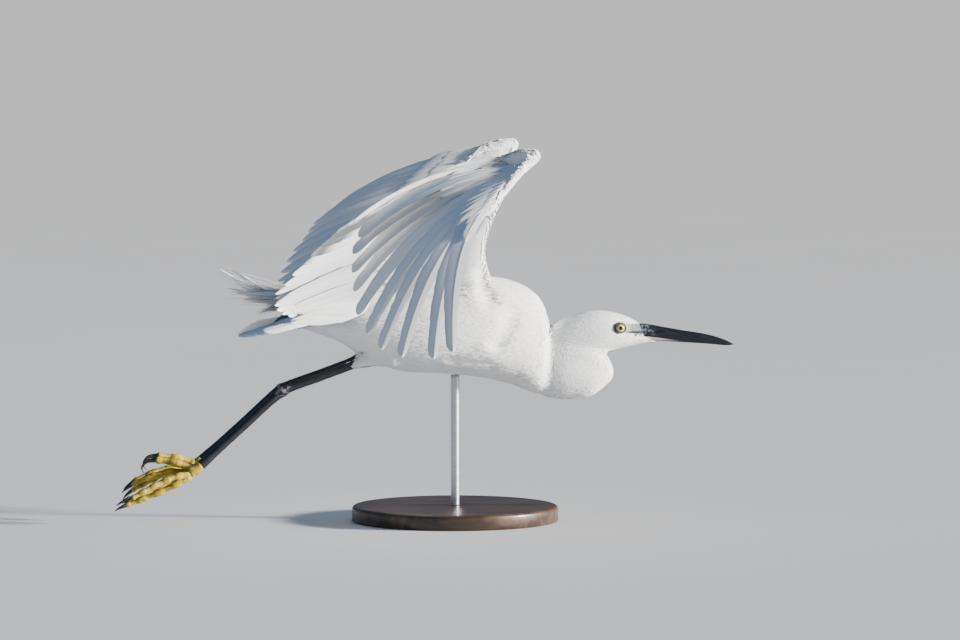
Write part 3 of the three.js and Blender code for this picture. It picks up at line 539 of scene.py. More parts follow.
def bare_face(p):
    """How bare the face is at points: 1 inside the patch round the eye and before it, 0 under feathers.
    The patch is a disc of 5.9 mm round the eye and a wedge from it to the bill."""
    x, z = p[..., 0], p[..., 2]
    disc = 5.9 - np.hypot((x - EYE[0]), (z - EYE[2]))
    top = blend(182.6, 180.4, np.clip((x - 152) / 20, 0, 1)) - z
    bottom = z - blend(173.4, 169.6, np.clip((x - 152) / 22, 0, 1))
    wedge = np.minimum(np.minimum(top, bottom), np.minimum(x - 150, 190 - x))
    return np.clip(np.maximum(disc, wedge) / 0.8 + 0.5, 0, 1)


def face_dents(p):
    """Pulls the skin in round the eyeball and along the corner of the mouth."""
    side = np.sign(p[:, 1:2])
    from_eye = np.hypot(p[:, 0] - EYE[0], p[:, 2] - EYE[2])
    socket = 1.5 * np.exp(-((from_eye / 4.6) ** 4))
    below_mouth = np.abs(p[:, 2] - mouth_line(p[:, 0])[0])
    corner = 0.8 * np.exp(-((below_mouth / 0.8) ** 2)) * np.clip((p[:, 0] - 151) / 4, 0, 1)
    on_head = ((p[:, 0] > 140) & (p[:, 2] > 158)).astype(float)
    return p - np.array([0, 1.0, 0]) * side * ((socket + corner) * on_head)[:, None]


# Rows of a fold in the loose plumage of the side: x and z of both ends, depth and half breadth.
SIDE_FOLDS = [
    (22, 232, 28, 206, 4.6, 6.5), (36, 166, 48, 185, 3.6, 7.0),
    (26, 206, 52, 196, 1.2, 5.0), (-6, 150, 30, 147, 1.2, 4.0),
]


def side_folds(p):
    """Presses long hollows into both sides: depth * exp(-(distance to the fold / breadth) ** 2)."""
    place = p[:, [0, 2]]
    for x0, z0, x1, z1, depth, breadth in SIDE_FOLDS:
        start, run = np.array([x0, z0]), np.array([x1 - x0, z1 - z0])
        share = np.clip(((place - start) @ run) / (run @ run), 0, 1)[:, None]
        away = np.linalg.norm(place - start - run * share, axis=1)
        on_side = np.clip((np.abs(p[:, 1]) - 16) / 10, 0, 1) * (np.abs(p[:, 1]) < 46)
        press = depth * np.exp(-((away / breadth) ** 2)) * on_side
        p = p - np.array([0, 1.0, 0]) * np.sign(p[:, 1:2]) * press[:, None]
    return p


skin_points = side_folds(face_dents(skin_points))
print("bare skin points:", int((bare_face(skin_points) * (skin_points[:, 0] > 143)).sum()))

# %% [markdown]
# ## Finish of the skin
#
# Almost all of the skin is hidden, so there it only has the grey-white of down. Round the eye and in front
# of it the colours run into each other: a mask is worked out from where a point is, and mixes them.

# %% Skin finish and the skin piece
def skin_finish():
    """Down-coloured skin with the bare face: greenish by the eye, blue-grey and mottled black by the bill."""
    paint = Finish("downy_skin", Roughness=0.7, Specular_IOR_Level=0.35)
    x, _, z = paint.axes(paint.place())
    fine = paint.noise(paint.place(), 900.0, 4.0, 0.65)
    patch = paint.ramp(
        (x - 0.150) * 34.0 + (fine - 0.5) * 0.12,
        (0.0, (0.30, 0.31, 0.20)), (0.28, (0.42, 0.44, 0.31)), (0.42, (0.27, 0.30, 0.27)),
        (0.58, (0.20, 0.24, 0.29)), (1.0, (0.10, 0.12, 0.15)),
    )
    spots = fine.between(0.52, 0.60) * x.between(0.158, 0.164)
    patch = paint.mixed(spots, patch, (0.02, 0.023, 0.03))
    off_stripe = (z - 0.1736 + (fine - 0.5) * 0.001).math("ABSOLUTE")
    stripe = (1 - off_stripe.between(0.0005, 0.0013)) * x.between(0.1565, 0.1605)
    patch = paint.mixed(stripe, patch, (0.012, 0.013, 0.018))
    ring = paint.node("ShaderNodeVectorMath", {"operation": "DISTANCE"}, {
        0: paint.stretched(paint.place(), (1, 0, 1)), 1: (EYE[0] * MM, 0, EYE[2] * MM)}, "Value")
    patch = paint.mixed(1 - ring.between(0.0046, 0.0056), patch, (0.045, 0.05, 0.045))
    front = x.between(0.1445, 0.1455) * z.between(0.1690, 0.1700)
    down = paint.mixed(paint.noise(paint.place(), 260.0), (0.74, 0.745, 0.75), (0.88, 0.88, 0.87))
    paint.feed(Base_Color=paint.mixed(front, down, patch))
    paint.bump(fine, 0.5, 0.0006)
    return paint.material


two_each = np.concatenate([skin_quads[:, [0, 1, 2]], skin_quads[:, [0, 2, 3]]])
skin = piece("skin", skin_points, two_each, skin_finish())
skin_normals = np.empty(len(skin_points) * 3)
skin.data.vertices.foreach_get("normal", skin_normals)
skin_normals = skin_normals.reshape(-1, 3)
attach(skin, "root")
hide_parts("torso", "neck_base", "neck_loop", "head", "thigh_left", "thigh_right")

# %% [markdown]
# ## Which way the feathers lie
#
# Feathers point away from the bill, down the neck, back along the trunk and out along the wings. A few
# hundred guide points carry a direction and the length and width of the feathers near them. A spot of the
# skin takes the mean of the guides, weighted by exp(-(distance / reach) ** 2), so that the lie turns
# smoothly.

# %% Guides for the lie and size of the small feathers
def guides():
    """Rows of place (3), direction (3), reach, feather length and feather width."""
    rows = []

    def add(at, way, reach, long, wide):
        at, way = np.atleast_2d(at), np.atleast_2d(way)
        sizes = [np.broadcast_to(np.asarray(v, float), len(at)) for v in (reach, long, wide)]
        rows.append(np.column_stack([at, np.broadcast_to(unit(way), at.shape), *sizes]))

    def add_path(points, reach, long, wide, count=24):
        share = np.linspace(0, 1, count)
        path = through(*points)
        add(path(share), np.gradient(path(share), axis=0),
            *(blend(a, b, share) for a, b in (reach, long, wide)))

    for side in (1, -1):
        add_path([(192, 2 * side, 165), (170, 6 * side, 171), (152, 9 * side, 176), (128, 10 * side, 178),
                  (106, 9 * side, 174)], (4, 12), (3.2, 8.5), (1.2, 2.4))
        add_path([(190, 2 * side, 164), (160, 7 * side, 161), (140, 9 * side, 158), (118, 10 * side, 158)],
                 (4, 9), (3.2, 8), (1.2, 2.4))
    add_path([(104, 0, 172), (94, 0, 164), (94, 0, 154), (106, 0, 146), (122, 0, 144), (134, 0, 138),
              (134, 0, 130),
              (122, 0, 122), (102, 0, 120), (80, 0, 128)], (12, 12), (9, 12), (2.4, 3), 40)
    add_path([(84, 0, 176), (74, 0, 168), (56, 0, 166), (20, 0, 172), (-40, 0, 178), (-100, 0, 182),
              (-150, 0, 183)],
             (14, 34), (15, 24), (2.7, 3.8), 40)
    share = np.linspace(0.1, 0.9, 14)
    hand_share = np.linspace(0.1, 1, 10)
    for side in (1, -1):
        turn = MIRROR if side < 0 else 1
        outward = unit(np.gradient(arm_front(share), axis=0))
        backward = unit(inner_tip(share) - inner_root(share))
        for chord, long, lean in ((0.0, 4.6, 0.9), (0.25, 6, 0.6), (0.6, 9, 0.2), (1.0, 11, 0)):
            at = blend(arm_front(share), arm_rear(share), chord)
            add(at * turn, blend(backward, outward, lean) * turn, 11, long, long * 0.34)
        wrist = np.array([(66, 106, 336), (72, 106, 340), (73, 106, 344), (69, 106, 347), (60, 105, 348),
                          (48, 102, 347)]) * turn
        add(wrist, [(0.5, 0, 1), (0.5, 0, 1), (-0.2, 0, 1), (-0.9, 0, 0.4), (-1, 0, 0), (-1, 0, 0)],
            7, (4, 4, 4, 4.4, 6, 8), (1.5, 1.5, 1.5, 1.6, 2, 2.5))
        add([(34, 98, 339) * turn, (20, 95, 332) * turn], (-1, 0, -0.35), 9, 11, 3.2)
        along_hand = primary_tip(hand_share) - primary_root(hand_share)
        add(hand_spine(hand_share) * turn, along_hand * turn, 10, 7, 2.4)
        leg = np.linspace(0, 1, 8)[:, None]
        add((KNEE + (SHANK_TOP - KNEE) * leg) * turn, (SHANK_TOP - KNEE) * turn, 15, 14, 2.3)
    return np.concatenate(rows)


GUIDES = guides()


def combed(points):
    """Direction, length and width of the feathers at points."""
    total = np.zeros((len(points), 5))
    for part in np.array_split(np.arange(len(points)), max(1, len(points) // 4000)):
        gap = np.linalg.norm(points[part][:, None] - GUIDES[None, :, :3], axis=-1)
        weight = np.exp(-((gap / GUIDES[:, 6]) ** 2)) + 1e-9 / (1 + gap)
        total[part] = (weight @ GUIDES[:, [3, 4, 5, 7, 8]]) / weight.sum(1, keepdims=True)
    return unit(total[:, :3]), total[:, 3], total[:, 4]


print("guides:", len(GUIDES))

# %% [markdown]
# ## Small feathers that follow the skin
#
# A small feather is a closed sliver with a raised middle and a flat underside: sixteen triangles are
# enough, since there are thousands. It starts under the skin, rises a little, and bends with the body. To
# bend it, each of its stations is set at a given height over the skin. The nearest skin point is looked up
# in a coarse box of cells, filled outwards from the skin, which is far quicker than measuring every
# distance.

# %% A look-up of the skin and the small feathers over it
CELL, MARGIN = 2.5, 30
cells_low = skin_points.min(0) - MARGIN
cells = np.full(((skin_points.max(0) + MARGIN - cells_low) / CELL).astype(int) + 1, -1, np.int32)
cells[tuple(((skin_points - cells_low) / CELL).astype(int).T)] = np.arange(len(skin_points))
for _ in range(5):
    for axis in range(3):
        for step in (1, -1):
            cells = np.where(cells < 0, np.roll(cells, step, axis), cells)


def over_skin(points, height):
    """Points moved to a height over the skin: p + n * (height - (p - q) . n), with q the near skin point
    and n its normal."""
    place = np.clip(((points - cells_low) / CELL).astype(int), 0, np.array(cells.shape) - 1)
    near = cells[tuple(np.moveaxis(place, -1, 0))]
    q, n = skin_points[near], skin_normals[near]
    rise = height - ((points - q) * n).sum(-1)
    return np.where((near >= 0)[..., None], points + n * np.clip(rise, -9, 9)[..., None], points), n


def scattered(chosen, cover):
    """Roots spread over chosen skin faces. Their number on a face is its area times cover over the size of a
    feather there, and each sits at a random spot of the face."""
    corners = skin_points[skin_quads[chosen]]
    way, long, wide = combed(corners.mean(1))
    area = np.linalg.norm(np.cross(corners[:, 2] - corners[:, 0], corners[:, 3] - corners[:, 1]), axis=1) / 2
    count = (area * cover / (0.7 * long * wide) + chance.random(len(area))).astype(int)
    face = np.repeat(np.arange(len(area)), count)
    u, v = chance.random((2, len(face), 1))
    a, b, c, d = np.moveaxis(corners[face], 1, 0)
    return blend(blend(a, b, u), blend(d, c, u), v), way[face], long[face], wide[face]


SLIVER = np.array([
    [0, 1, 3], [1, 4, 3], [1, 2, 4], [2, 5, 4], [2, 0, 5], [0, 3, 5],
    [3, 4, 6], [4, 7, 6], [4, 5, 7], [5, 8, 7], [5, 3, 8], [3, 6, 8],
    [6, 7, 9], [7, 8, 9], [8, 6, 9], [0, 2, 1],
])
UNDERSIDE = [4, 5, 10, 11, 14, 15]
BAKE_PATCH = 0.003


def small_feathers(name, roots, way, long, wide, unwrap, lift):
    """A coat piece. Station s of a feather lies at root + way * long * s, set over the skin at a height that
    grows from -0.3 lift to 0.7 lift, and its half width is wide / 2 times 0.5, 1, 0.78 and 0 at the four
    stations. The light sees the skin's own direction, tilted a little to the sides, so the coat looks soft.
    Over a sharp edge a feather is shortened, and left out where it would turn right over."""
    base, normal = over_skin(roots, 0.0)
    way = unit(way + chance.normal(0, 0.09, (len(roots), 3)))
    way = unit(way - normal * (way * normal).sum(1, keepdims=True))
    agreement = (over_skin(base + way * long[:, None], 0.0)[1] * normal).sum(1)
    kept = agreement > -0.1
    roots, base, normal, way, long, wide, agreement = (
        v[kept] for v in (roots, base, normal, way, long, wide, agreement))
    n = len(roots)
    flatness = np.clip(agreement * 1.4 - 0.1, 0.45, 1)
    long = (long * flatness * chance.uniform(0.8, 1.15, n))[:, None]
    wide = (wide * flatness**0.5 * chance.uniform(0.85, 1.2, n))[:, None]
    side = np.cross(way, normal)
    corners, shades, downs = [], [], []
    loose = chance.random(n)
    for s, w in ((0.0, 0.5), (0.38, 1.0), (0.74, 0.78), (1.0, 0.0)):
        over = lift * (-0.3 + s * (1.0 + 0.45 * loose)) * np.minimum(long[:, 0] / 9, 1.2)
        straight = base + way * long * s
        at, bent = over_skin(straight, over)
        astray = np.linalg.norm(at - straight, axis=1) > 0.4 * long[:, 0] + 1.2
        turned_over = (((bent * normal).sum(1) < 0.5) | astray)[:, None]
        at = np.where(turned_over, straight + normal * over[:, None], at)
        bent = np.where(turned_over, normal, bent)
        if w == 0:
            corners.append(at)
            shades.append(bent + way * 0.2)
            downs.append(-bent)
        else:
            left, right = at - side * wide * w / 2 - bent * 0.1, at + side * wide * w / 2 - bent * 0.1
            corners += [left, at + bent * 0.05 * wide, right]
            shades += [bent - side * 0.18, bent, bent + side * 0.18]
            downs += [-bent] * 3
    shade = np.stack(shades, 1)[:, SLIVER]
    shade[:, UNDERSIDE] = np.stack(downs, 1)[:, SLIVER[UNDERSIDE]]
    triangles = (SLIVER[None] + 10 * np.arange(n)[:, None, None]).reshape(-1, 3)
    flat = np.array([[0, 0], [0.5, 0], [1, 0], [0, 0.38], [0.5, 0.38], [1, 0.38],
                     [0.1, 0.74], [0.5, 0.74], [0.9, 0.74], [0.5, 1]])
    shown = (flat[None] + chance.random((n, 1, 2)) * (7, 0)).reshape(-1, 2)
    patch = (unwrap(roots)[:, None] + BAKE_PATCH * (flat[None] - 0.5)).reshape(-1, 2)
    tone = np.repeat(chance.random(n), 10)
    made = piece(name, np.stack(corners, 1), triangles, SOFT_WHITE,
                 {"pattern": shown[triangles], "OFBake": patch[triangles]}, tone, shade)
    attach(made, "root")


# %% [markdown]
# ## The coat in six pieces
#
# The coat is parted where its flat maps are easiest: head with neck, breast, rump, thighs, and one for each
# wing arm. Each map rolls the skin out like a label from a can: how far along the bird, and how far round
# it.

# %% Head, trunk, thigh and arm coats
def rolled(low, high, middle):
    """A map that unrolls the skin round a line: along x from low to high, and the angle round the middle."""
    def at(p):
        y, z = p[:, 1], p[:, 2] - middle(p)
        return np.stack([0.02 + 0.96 * np.clip((p[:, 0] - low) / (high - low), 0, 1),
                         0.02 + 0.96 * (np.arctan2(y, z) / (2 * np.pi) + 0.5)], -1)
    return at


def arm_map(p):
    """An arm: along its length by height, across by place between front and rear, on two faces."""
    share = np.clip((p[:, 2] - 214) / 132, 0, 1)
    x = p[:, 0] - blend(arm_rear(share)[:, 0], arm_front(share)[:, 0], 0.5)
    across = np.clip(0.5 + x / 70, 0, 1)
    _, normal = over_skin(p, 0.0)
    inside = normal[:, 2] < 0
    return np.stack([0.02 + 0.96 * share, 0.02 + 0.47 * across + 0.49 * inside], -1)


def level(height):
    """The middle of a form that lies level, for rolled."""
    return lambda p: np.full(len(p), height)


def neck_middle(p):
    """The middle of head and neck, which drops towards the breast."""
    return np.interp(p[:, 0], (86, 140, 196), (150, 165, 165))


def thigh_map(p):
    """Both thighs, each unrolled round its own middle, and one above the other on the map."""
    own = p - (0, 1, 0) * np.sign(p) * 18
    return rolled(-110, -40, level(152.0))(own) * (1, 0.49) + (0, 1) * (p[:, 1:2] > 0) * 0.5


middles = skin_points[skin_quads].mean(1)
x, off_middle, z = middles[:, 0], np.abs(middles[:, 1]), middles[:, 2]
left_half, right_half = middles[:, 1] > 0, middles[:, 1] < 0
on_arm = (off_middle > 30) & (z > 214) | (z > 229)
on_thigh = (x < -52) & (z < 160 - (x + 58) * -0.33) & (off_middle > 3) & (x > -102)
on_front = (x > 86) & ~on_arm
on_trunk = ~on_front & ~on_arm & ~on_thigh
bare_shank = on_thigh & (x < -93)
covered = bare_face(middles) * (x > 143) * (z > 168) < 0.4

# Each piece: its part of the skin, the layers of feathers, its map, and how far the feathers rise.
coat_parts = {
    "coat_head": (on_front & covered, 9.0, rolled(84, 200, neck_middle), 0.3),
    "coat_breast": (on_trunk & (x > -10), 12.0, rolled(-12, 90, level(175.0)), 0.32),
    "coat_rump": (on_trunk & (x <= -10), 12.0, rolled(-150, -8, level(178.0)), 0.4),
    "coat_thighs": (on_thigh & ~bare_shank, 12.0, thigh_map, 0.4),
    "coat_arm_left": (on_arm & left_half, 10.0, arm_map, 0.16),
    "coat_arm_right": (on_arm & right_half, 10.0, lambda p: arm_map(p * MIRROR), 0.16),
}
for name, (chosen, cover, unwrap, lift) in coat_parts.items():
    small_feathers(name, *scattered(chosen, cover), unwrap, lift)

# %% [markdown]
# ## Large feathers
#
# A flight feather is a long thin sheet that bends along its length, is raised along its shaft, and is wider
# on its trailing side. As a surface it is a function of two numbers: s along the shaft, and c across from
# -1 to 1. The shaft is a simple curve from root to tip with one bulge. The sheet gets an underside and
# closed edges, so it is a true thin body, and its edge is a little uneven, as barbs part with wear.

# %% A whole row of large feathers at once
ACROSS = np.array([-1, -0.72, -0.4, -0.09, 0, 0.09, 0.4, 0.72, 1.0])


def along_feather(rows):
    """Shares along a feather, closer together at its rounded tip."""
    s = np.linspace(0, 1, rows)
    return 1 - (1 - s) ** 1.5 * (1 - 0.25 * s)


def sheet_triangles(rows, columns):
    """Triangles of a closed thin sheet: the top grid, the underside, and a strip round the edge."""
    i, j = np.meshgrid(np.arange(rows - 1), np.arange(columns - 1), indexing="ij")
    a = (i * columns + j).ravel()
    top = np.stack([a, a + 1, a + columns + 1, a, a + columns + 1, a + columns], -1).reshape(-1, 3)
    size = rows * columns
    edge = np.concatenate([
        np.arange(columns - 1), np.arange(columns - 1, size - 1, columns),
        np.arange(size - 1, size - columns, -1), np.arange(size - columns, 0, -columns),
    ])
    following = np.roll(edge, -1)
    strip = np.stack([edge, edge + size, following, following, edge + size, following + size], -1)
    return top, top[:, ::-1] + size, strip.reshape(-1, 3)


def large_feathers(root, tip, bow, face, tip_face, width, outline, leading=0.42, rows=20, crown=0.035,
                   thick=0.42, shaft=0.9, ragged=0.035, point=0.09):
    """Points of a row of feathers: (n, 2, rows, columns, 3).
    The shaft is (1 - s)^2 root + 2 s (1 - s) control + s^2 tip, with control = middle + 2 bow. The half
    width is width * outline(s) * the share of its side, rounded off over the last part of the length."""
    n = len(root)
    s = along_feather(rows)[None, :, None]
    control = ((root + tip) / 2 + 2 * bow)[:, None]
    root, tip = root[:, None], tip[:, None]
    at = (1 - s) ** 2 * root + 2 * s * (1 - s) * control + s**2 * tip
    ahead = unit(2 * (1 - s) * (control - root) + 2 * s * (tip - control))
    facing = blend(face[:, None], tip_face[:, None], s)
    side = unit(np.cross(ahead, facing))
    over = np.cross(side, ahead)
    shares, widths = np.asarray(outline, float).T
    half = np.interp(s[0, :, 0], shares, widths)
    half = half * np.sqrt(np.clip(1 - (np.clip(s[0, :, 0] - (1 - point), 0, 1) / point) ** 2, 0.0009, 1))
    c = ACROSS[None, None, :]
    half = np.asarray(width).reshape(-1, 1, 1) * half[None, :, None] * np.where(c < 0, 1 - leading, leading)
    wear = 1 + ragged * chance.normal(0, 1, (n, rows, 1)) * np.abs(c) ** 3
    rise = crown * np.asarray(width).reshape(-1, 1, 1) * (1 - np.abs(c) ** 1.6)
    quill = shaft * (1 - 0.8 * s) * np.exp(-((c / 0.07) ** 2))
    web = thick * (1 - 0.75 * c**2) * (1 - 0.5 * s)
    centre = at[:, :, None] + side[:, :, None] * (c * half * wear)[..., None]
    faces = [centre + over[:, :, None] * (rise + web / 2 + quill * 0.5)[..., None],
             centre + over[:, :, None] * (rise - web / 2 - quill * 0.35)[..., None]]
    return np.stack(faces, 1)


def feather_piece(name, groups, nodes=()):
    """One piece from groups of feathers (n, 2, rows, columns, 3). Each feather has a tile of its own on the
    OFBake map, with its top in the left half and its underside in the right half."""
    total = sum(len(group) for group in groups)
    tiles = int(np.ceil(np.sqrt(total)))
    parts, start, tile = [], 0, 0
    for group in groups:
        n, _, rows, columns, _ = group.shape
        size = rows * columns
        faces = sheet_triangles(rows, columns)
        one = np.concatenate(faces)
        solid = group[0].reshape(-1, 3)
        a, b, c = solid[one.T]
        if ((a - solid.mean(0)) * np.cross(b - a, c - a)).sum() < 0:
            one = one[:, ::-1]
        across, along = np.meshgrid((ACROSS + 1) / 2, along_feather(rows))
        flat = np.tile(np.stack([across, along], -1).reshape(-1, 2), (2, 1))
        under = np.arange(2 * size) >= size
        tiled = flat * (0.46, 0.94) + (0.02, 0.03) + under[:, None] * (0.5, 0)
        strip = np.arange(len(one)) >= 2 * len(faces[0])
        corner = np.where(strip[:, None], one % size, one)
        number = tile + np.arange(n)
        corner_of_tile = np.stack([number % tiles, number // tiles], -1)[:, None, None] / tiles
        bake = corner_of_tile + tiled[corner][None] / tiles
        facing = np.cross(np.gradient(group, axis=2), np.gradient(group, axis=3))
        upward = np.sign((facing[:, :1] * (group[:, :1] - group[:, 1:])).sum((1, 2, 3, 4)))
        facing = facing * upward[:, None, None, None, None] * np.array([1, -1])[:, None, None, None]
        numbers = one[None] + start + 2 * size * np.arange(n)[:, None, None]
        parts.append((group.reshape(-1, 3), numbers.reshape(-1, 3), np.tile(flat[one], (n, 1, 1)),
                      bake.reshape(-1, 3, 2), np.repeat(chance.random(n), 2 * size),
                      facing.reshape(n, -1, 3)[:, one].reshape(-1, 3, 3)))
        start += 2 * size * n
        tile += n
    points, triangles, shown, bake, tone, shade = (np.concatenate(part) for part in zip(*parts))
    made = piece(name, points, triangles, VANE_WHITE, {"pattern": shown, "OFBake": bake}, tone, shade)
    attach(made, "root")
    if nodes:
        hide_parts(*nodes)


# %% [markdown]
# ## Rows on the wing
#
# The feathers of a wing lie in tiers, like tiles on a roof. Flight feathers come first, then three tiers of
# coverts above and two below, each shorter and set a little further off the sheet. One function lays out
# any tier from two curves, where its feathers start and where they end. Its outward side is square to the
# sheet between these curves.

# %% Laying out a tier
VANE_OUTLINE = [(0, 0.1), (0.08, 0.5), (0.3, 0.9), (0.62, 1), (0.9, 0.88), (1, 0.7)]
COVERT_OUTLINE = [(0, 0.15), (0.14, 0.7), (0.5, 1), (0.85, 0.95), (1, 0.8)]


def turned(vectors, axis, degrees):
    """Vectors turned round axes: v cos a + (axis x v) sin a, for axes square to the vectors."""
    a = np.radians(np.asarray(degrees, float)).reshape(-1, 1)
    return vectors * np.cos(a) + np.cross(axis, vectors) * np.sin(a)


def tier(count, root, tip, bow, overlap, tilt, facing=None, lift=(0, 0, 0, 0), widest=99.0, loose=0.0,
         sway=1.2, **rest):
    """A row of feathers. root, tip and bow are functions of the place in the row, from 0 to 1. Each feather
    is overlap steps wide. tilt lays it on the next one, give or take sway degrees, or facing tells the way
    it faces at both ends. lift moves the row off the sheet: at the roots from its first number to its
    second, and likewise at the tips. loose is how uneven the lengths are."""
    place = np.linspace(0, 1, count)
    start, end = root(place), tip(place)
    ahead = unit(end - start)
    low, high = np.maximum(place - 0.05, 0), np.minimum(place + 0.05, 1)
    overs = [np.cross((curve(high) - curve(low)) / ((high - low) * (count - 1))[:, None], ahead)
             for curve in (root, tip)]
    step = blend(*(np.linalg.norm(over, axis=1) for over in overs), 0.6)
    tilted = np.full(count, float(tilt)) + chance.normal(0, sway, count) * (loose > 0)
    if facing is None:
        face, tip_face = (turned(unit(over), ahead, tilted) for over in overs)
    else:
        face, tip_face = (unit(way - ahead * (way * ahead).sum(1, keepdims=True))
                          for way in (facing(place, 0), facing(place, 1)))
    rise, tip_rise = (blend(a, b, place[:, None] ** 2) for a, b in (lift[:2], lift[2:]))
    end = end + ahead * chance.normal(0, 1, (count, 1)) * loose
    return large_feathers(start + face * rise, end + tip_face * tip_rise, bow(place), face, tip_face,
                          np.minimum(overlap * step, widest), **rest)


# %% [markdown]
# ## Inner wing
#
# Twelve secondaries and four tertials make the broad inner panel. It is raised and folded back, and its
# tips form the scalloped rear edge. The coverts above and below hide the roots.

# %% Tiers of the inner wing
def tip_share(root, tip, share, start=0.0, end=1.0):
    """A curve at part of the way along the flight feathers, for the tips of a tier of coverts."""
    def at(place):
        p = blend(start, end, place)
        reach = (share(p) if callable(share) else np.full(len(p), share))[:, None]
        return blend(root(p), tip(p), reach) + inner_bow(p) * 4 * reach * (1 - reach)
    return at


def inner_wing(forward):
    """Groups of feathers of an inner wing, from the flight feathers outwards. The tips near the body are held
    forward by some millimetres."""
    def flight_tip(p):
        held = np.clip((p - 0.3) / 0.55, 0, 1)
        return inner_tip(p) + np.array([forward, 0, 0]) * (1 - held**2 * (3 - 2 * held))[..., None]

    short_bow = lambda k: lambda place: inner_bow(place) * k
    cover = lambda share, start=0.0, end=1.0: tip_share(inner_root, flight_tip, share, start, end)
    part = lambda curve, start, end: lambda place: curve(blend(start, end, place))
    secondaries = tier(12, part(inner_root, 0.25, 1), part(flight_tip, 0.25, 1), part(inner_bow, 0.25, 1),
                       1.5, -17,
                       outline=VANE_OUTLINE, rows=26, crown=0.1, loose=1.3, sway=7, point=0.17)
    tertials = tier(4, part(inner_root, 0, 0.28), part(flight_tip, 0, 0.28), part(inner_bow, 0, 0.28), 1.7,
                    -17,
                    lift=(-2, -2, -5, -5), outline=VANE_OUTLINE, rows=26, crown=0.1, loose=1.3, sway=4,
                    point=0.17)
    greater = tier(20, inner_root, cover(lambda p: blend(0.52, 0.46, p)), short_bow(0.25),
                   2.1, -9, lift=(1, 3, 1.7, 1.4), outline=COVERT_OUTLINE, rows=16, crown=0.08, loose=1.6,
                   point=0.25)
    median = tier(24, inner_root, cover(0.34), short_bow(0.1),
                  2.7, -8, lift=(1.8, 3.5, 2.7, 2.6), outline=COVERT_OUTLINE, rows=13, loose=1.0, point=0.28)
    lesser = tier(32, lambda p: blend(arm_front(0.1 + 0.9 * p), arm_rear(0.1 + 0.9 * p), 0.55),
                  cover(0.21, 0.08), short_bow(0.02),
                  3.2, -4, lift=(2.2, 2.4, 3.8, 4.0), outline=COVERT_OUTLINE, rows=11, loose=0.8, point=0.3)
    under_greater = tier(18, lambda p: inner_root(0.04 + 0.92 * p), cover(0.38, 0.04, 0.96),
                         short_bow(0.12), 1.6, -7, lift=(-1.2, -1.2, -2.6, -2.6), outline=COVERT_OUTLINE,
                         rows=14, loose=1.2, point=0.2)
    under_median = tier(18, lambda p: inner_root(0.06 + 0.9 * p), cover(0.22, 0.06, 0.96),
                        short_bow(0.05), 1.7, -6, lift=(-2, -2, -4.4, -4.4), outline=COVERT_OUTLINE, rows=11,
                        loose=1.0, point=0.26)
    return [secondaries, tertials, greater, median, lesser, under_greater, under_median]


def slat_facing(place, end):
    """The way that the primaries face at their roots, where end is 0, and at their tips, where end is 1: like
    the slats of an open blind."""
    inner = np.array([-0.5, 0.73, 0.46]) if end else np.array([-0.36, 0.24, 0.9])
    return blend(inner, np.array([-0.26, 0.82, 0.5]), place[:, None])


# %% [markdown]
# ## Outer wing
#
# Ten primaries hang from the hand. Near the hand they overlap to a closed fan, and towards their tips each
# one narrows, so the fan opens into fingers with light between them. The alula, a tuft of three stiff
# feathers on the thumb, lies over their roots.

# %% Tiers of the outer wing, and both wings
PRIMARY_OUTLINE = [(0, 0.2), (0.06, 0.5), (0.3, 0.92), (0.58, 0.95), (0.87, 0.64), (0.96, 0.58), (1, 0.5)]


def hand_tip_share(share, rise):
    """A curve at part of the way along the primaries."""
    def at(place):
        reach = (share(place) if callable(share) else np.full(len(place), share))[:, None]
        return blend(primary_root(place), primary_tip(place), reach) + primary_bow(place) * rise
    return at


def outer_wing():
    """Groups of feathers of the left outer wing."""
    flight = tier(10, primary_root, primary_tip, primary_bow, 9, 0, slat_facing, widest=17, leading=0.36,
                  outline=PRIMARY_OUTLINE, rows=30, point=0.045)
    greater = tier(13, primary_root, hand_tip_share(lambda p: blend(0.44, 0.33, p), 0.9),
                   lambda p: primary_bow(p) * 0.15,
                   2.8, 0, slat_facing, lift=(0.5, 0.5, 1.1, 0.9), outline=COVERT_OUTLINE, widest=16, rows=18,
                   loose=1.5, point=0.3)
    median = tier(15, primary_root, hand_tip_share(lambda p: blend(0.29, 0.22, p), 0.6),
                  lambda p: primary_bow(p) * 0.08,
                  3.0, 0, slat_facing, lift=(1.0, 1.0, 1.8, 1.5), outline=COVERT_OUTLINE, widest=14, rows=14,
                  loose=1.2, point=0.35)
    under = tier(10, primary_root, hand_tip_share(lambda p: blend(0.34, 0.26, p), 0.7),
                 lambda p: primary_bow(p) * 0.12,
                 2.2, 0, slat_facing, lift=(-1.2, -1.2, -2.8, -2.4), outline=COVERT_OUTLINE, widest=16,
                 rows=14, loose=0.8, point=0.2)
    alula = tier(3, through((45, 122, 325), (39, 129, 318), (33, 135, 312)),
                 through((10, 138, 288), (7, 146, 279), (4, 152, 269)),
                 lambda p: np.tile([-1.0, 2, 3], (len(p), 1)),
                 1.5, -4, slat_facing, lift=(1.4, 1.4, 2.4, 2.4), widest=7, outline=COVERT_OUTLINE, rows=14,
                 point=0.2)
    return [flight, greater, median, under, alula]


for side, turn, forward in (("left", np.ones(3), 9.5), ("right", MIRROR, 0)):
    feather_piece(f"inner_wing_{side}", [group * turn for group in inner_wing(forward)],
                  [f"wing_inner_{side}"])
    feather_piece(f"outer_wing_{side}", [group * turn for group in outer_wing()], [f"wing_outer_{side}"])

# %% [markdown]
# ## Tail
#
# Twelve tail feathers spread from under the rump, with the middle pair on top and coverts over and under
# their roots. More coverts lie over the roots from the side, and run from the rump to half of the tail.

# %% Tail fan
FLANK_OUTLINE = [(0, 0.2), (0.3, 1), (0.65, 0.85), (1, 0.3)]


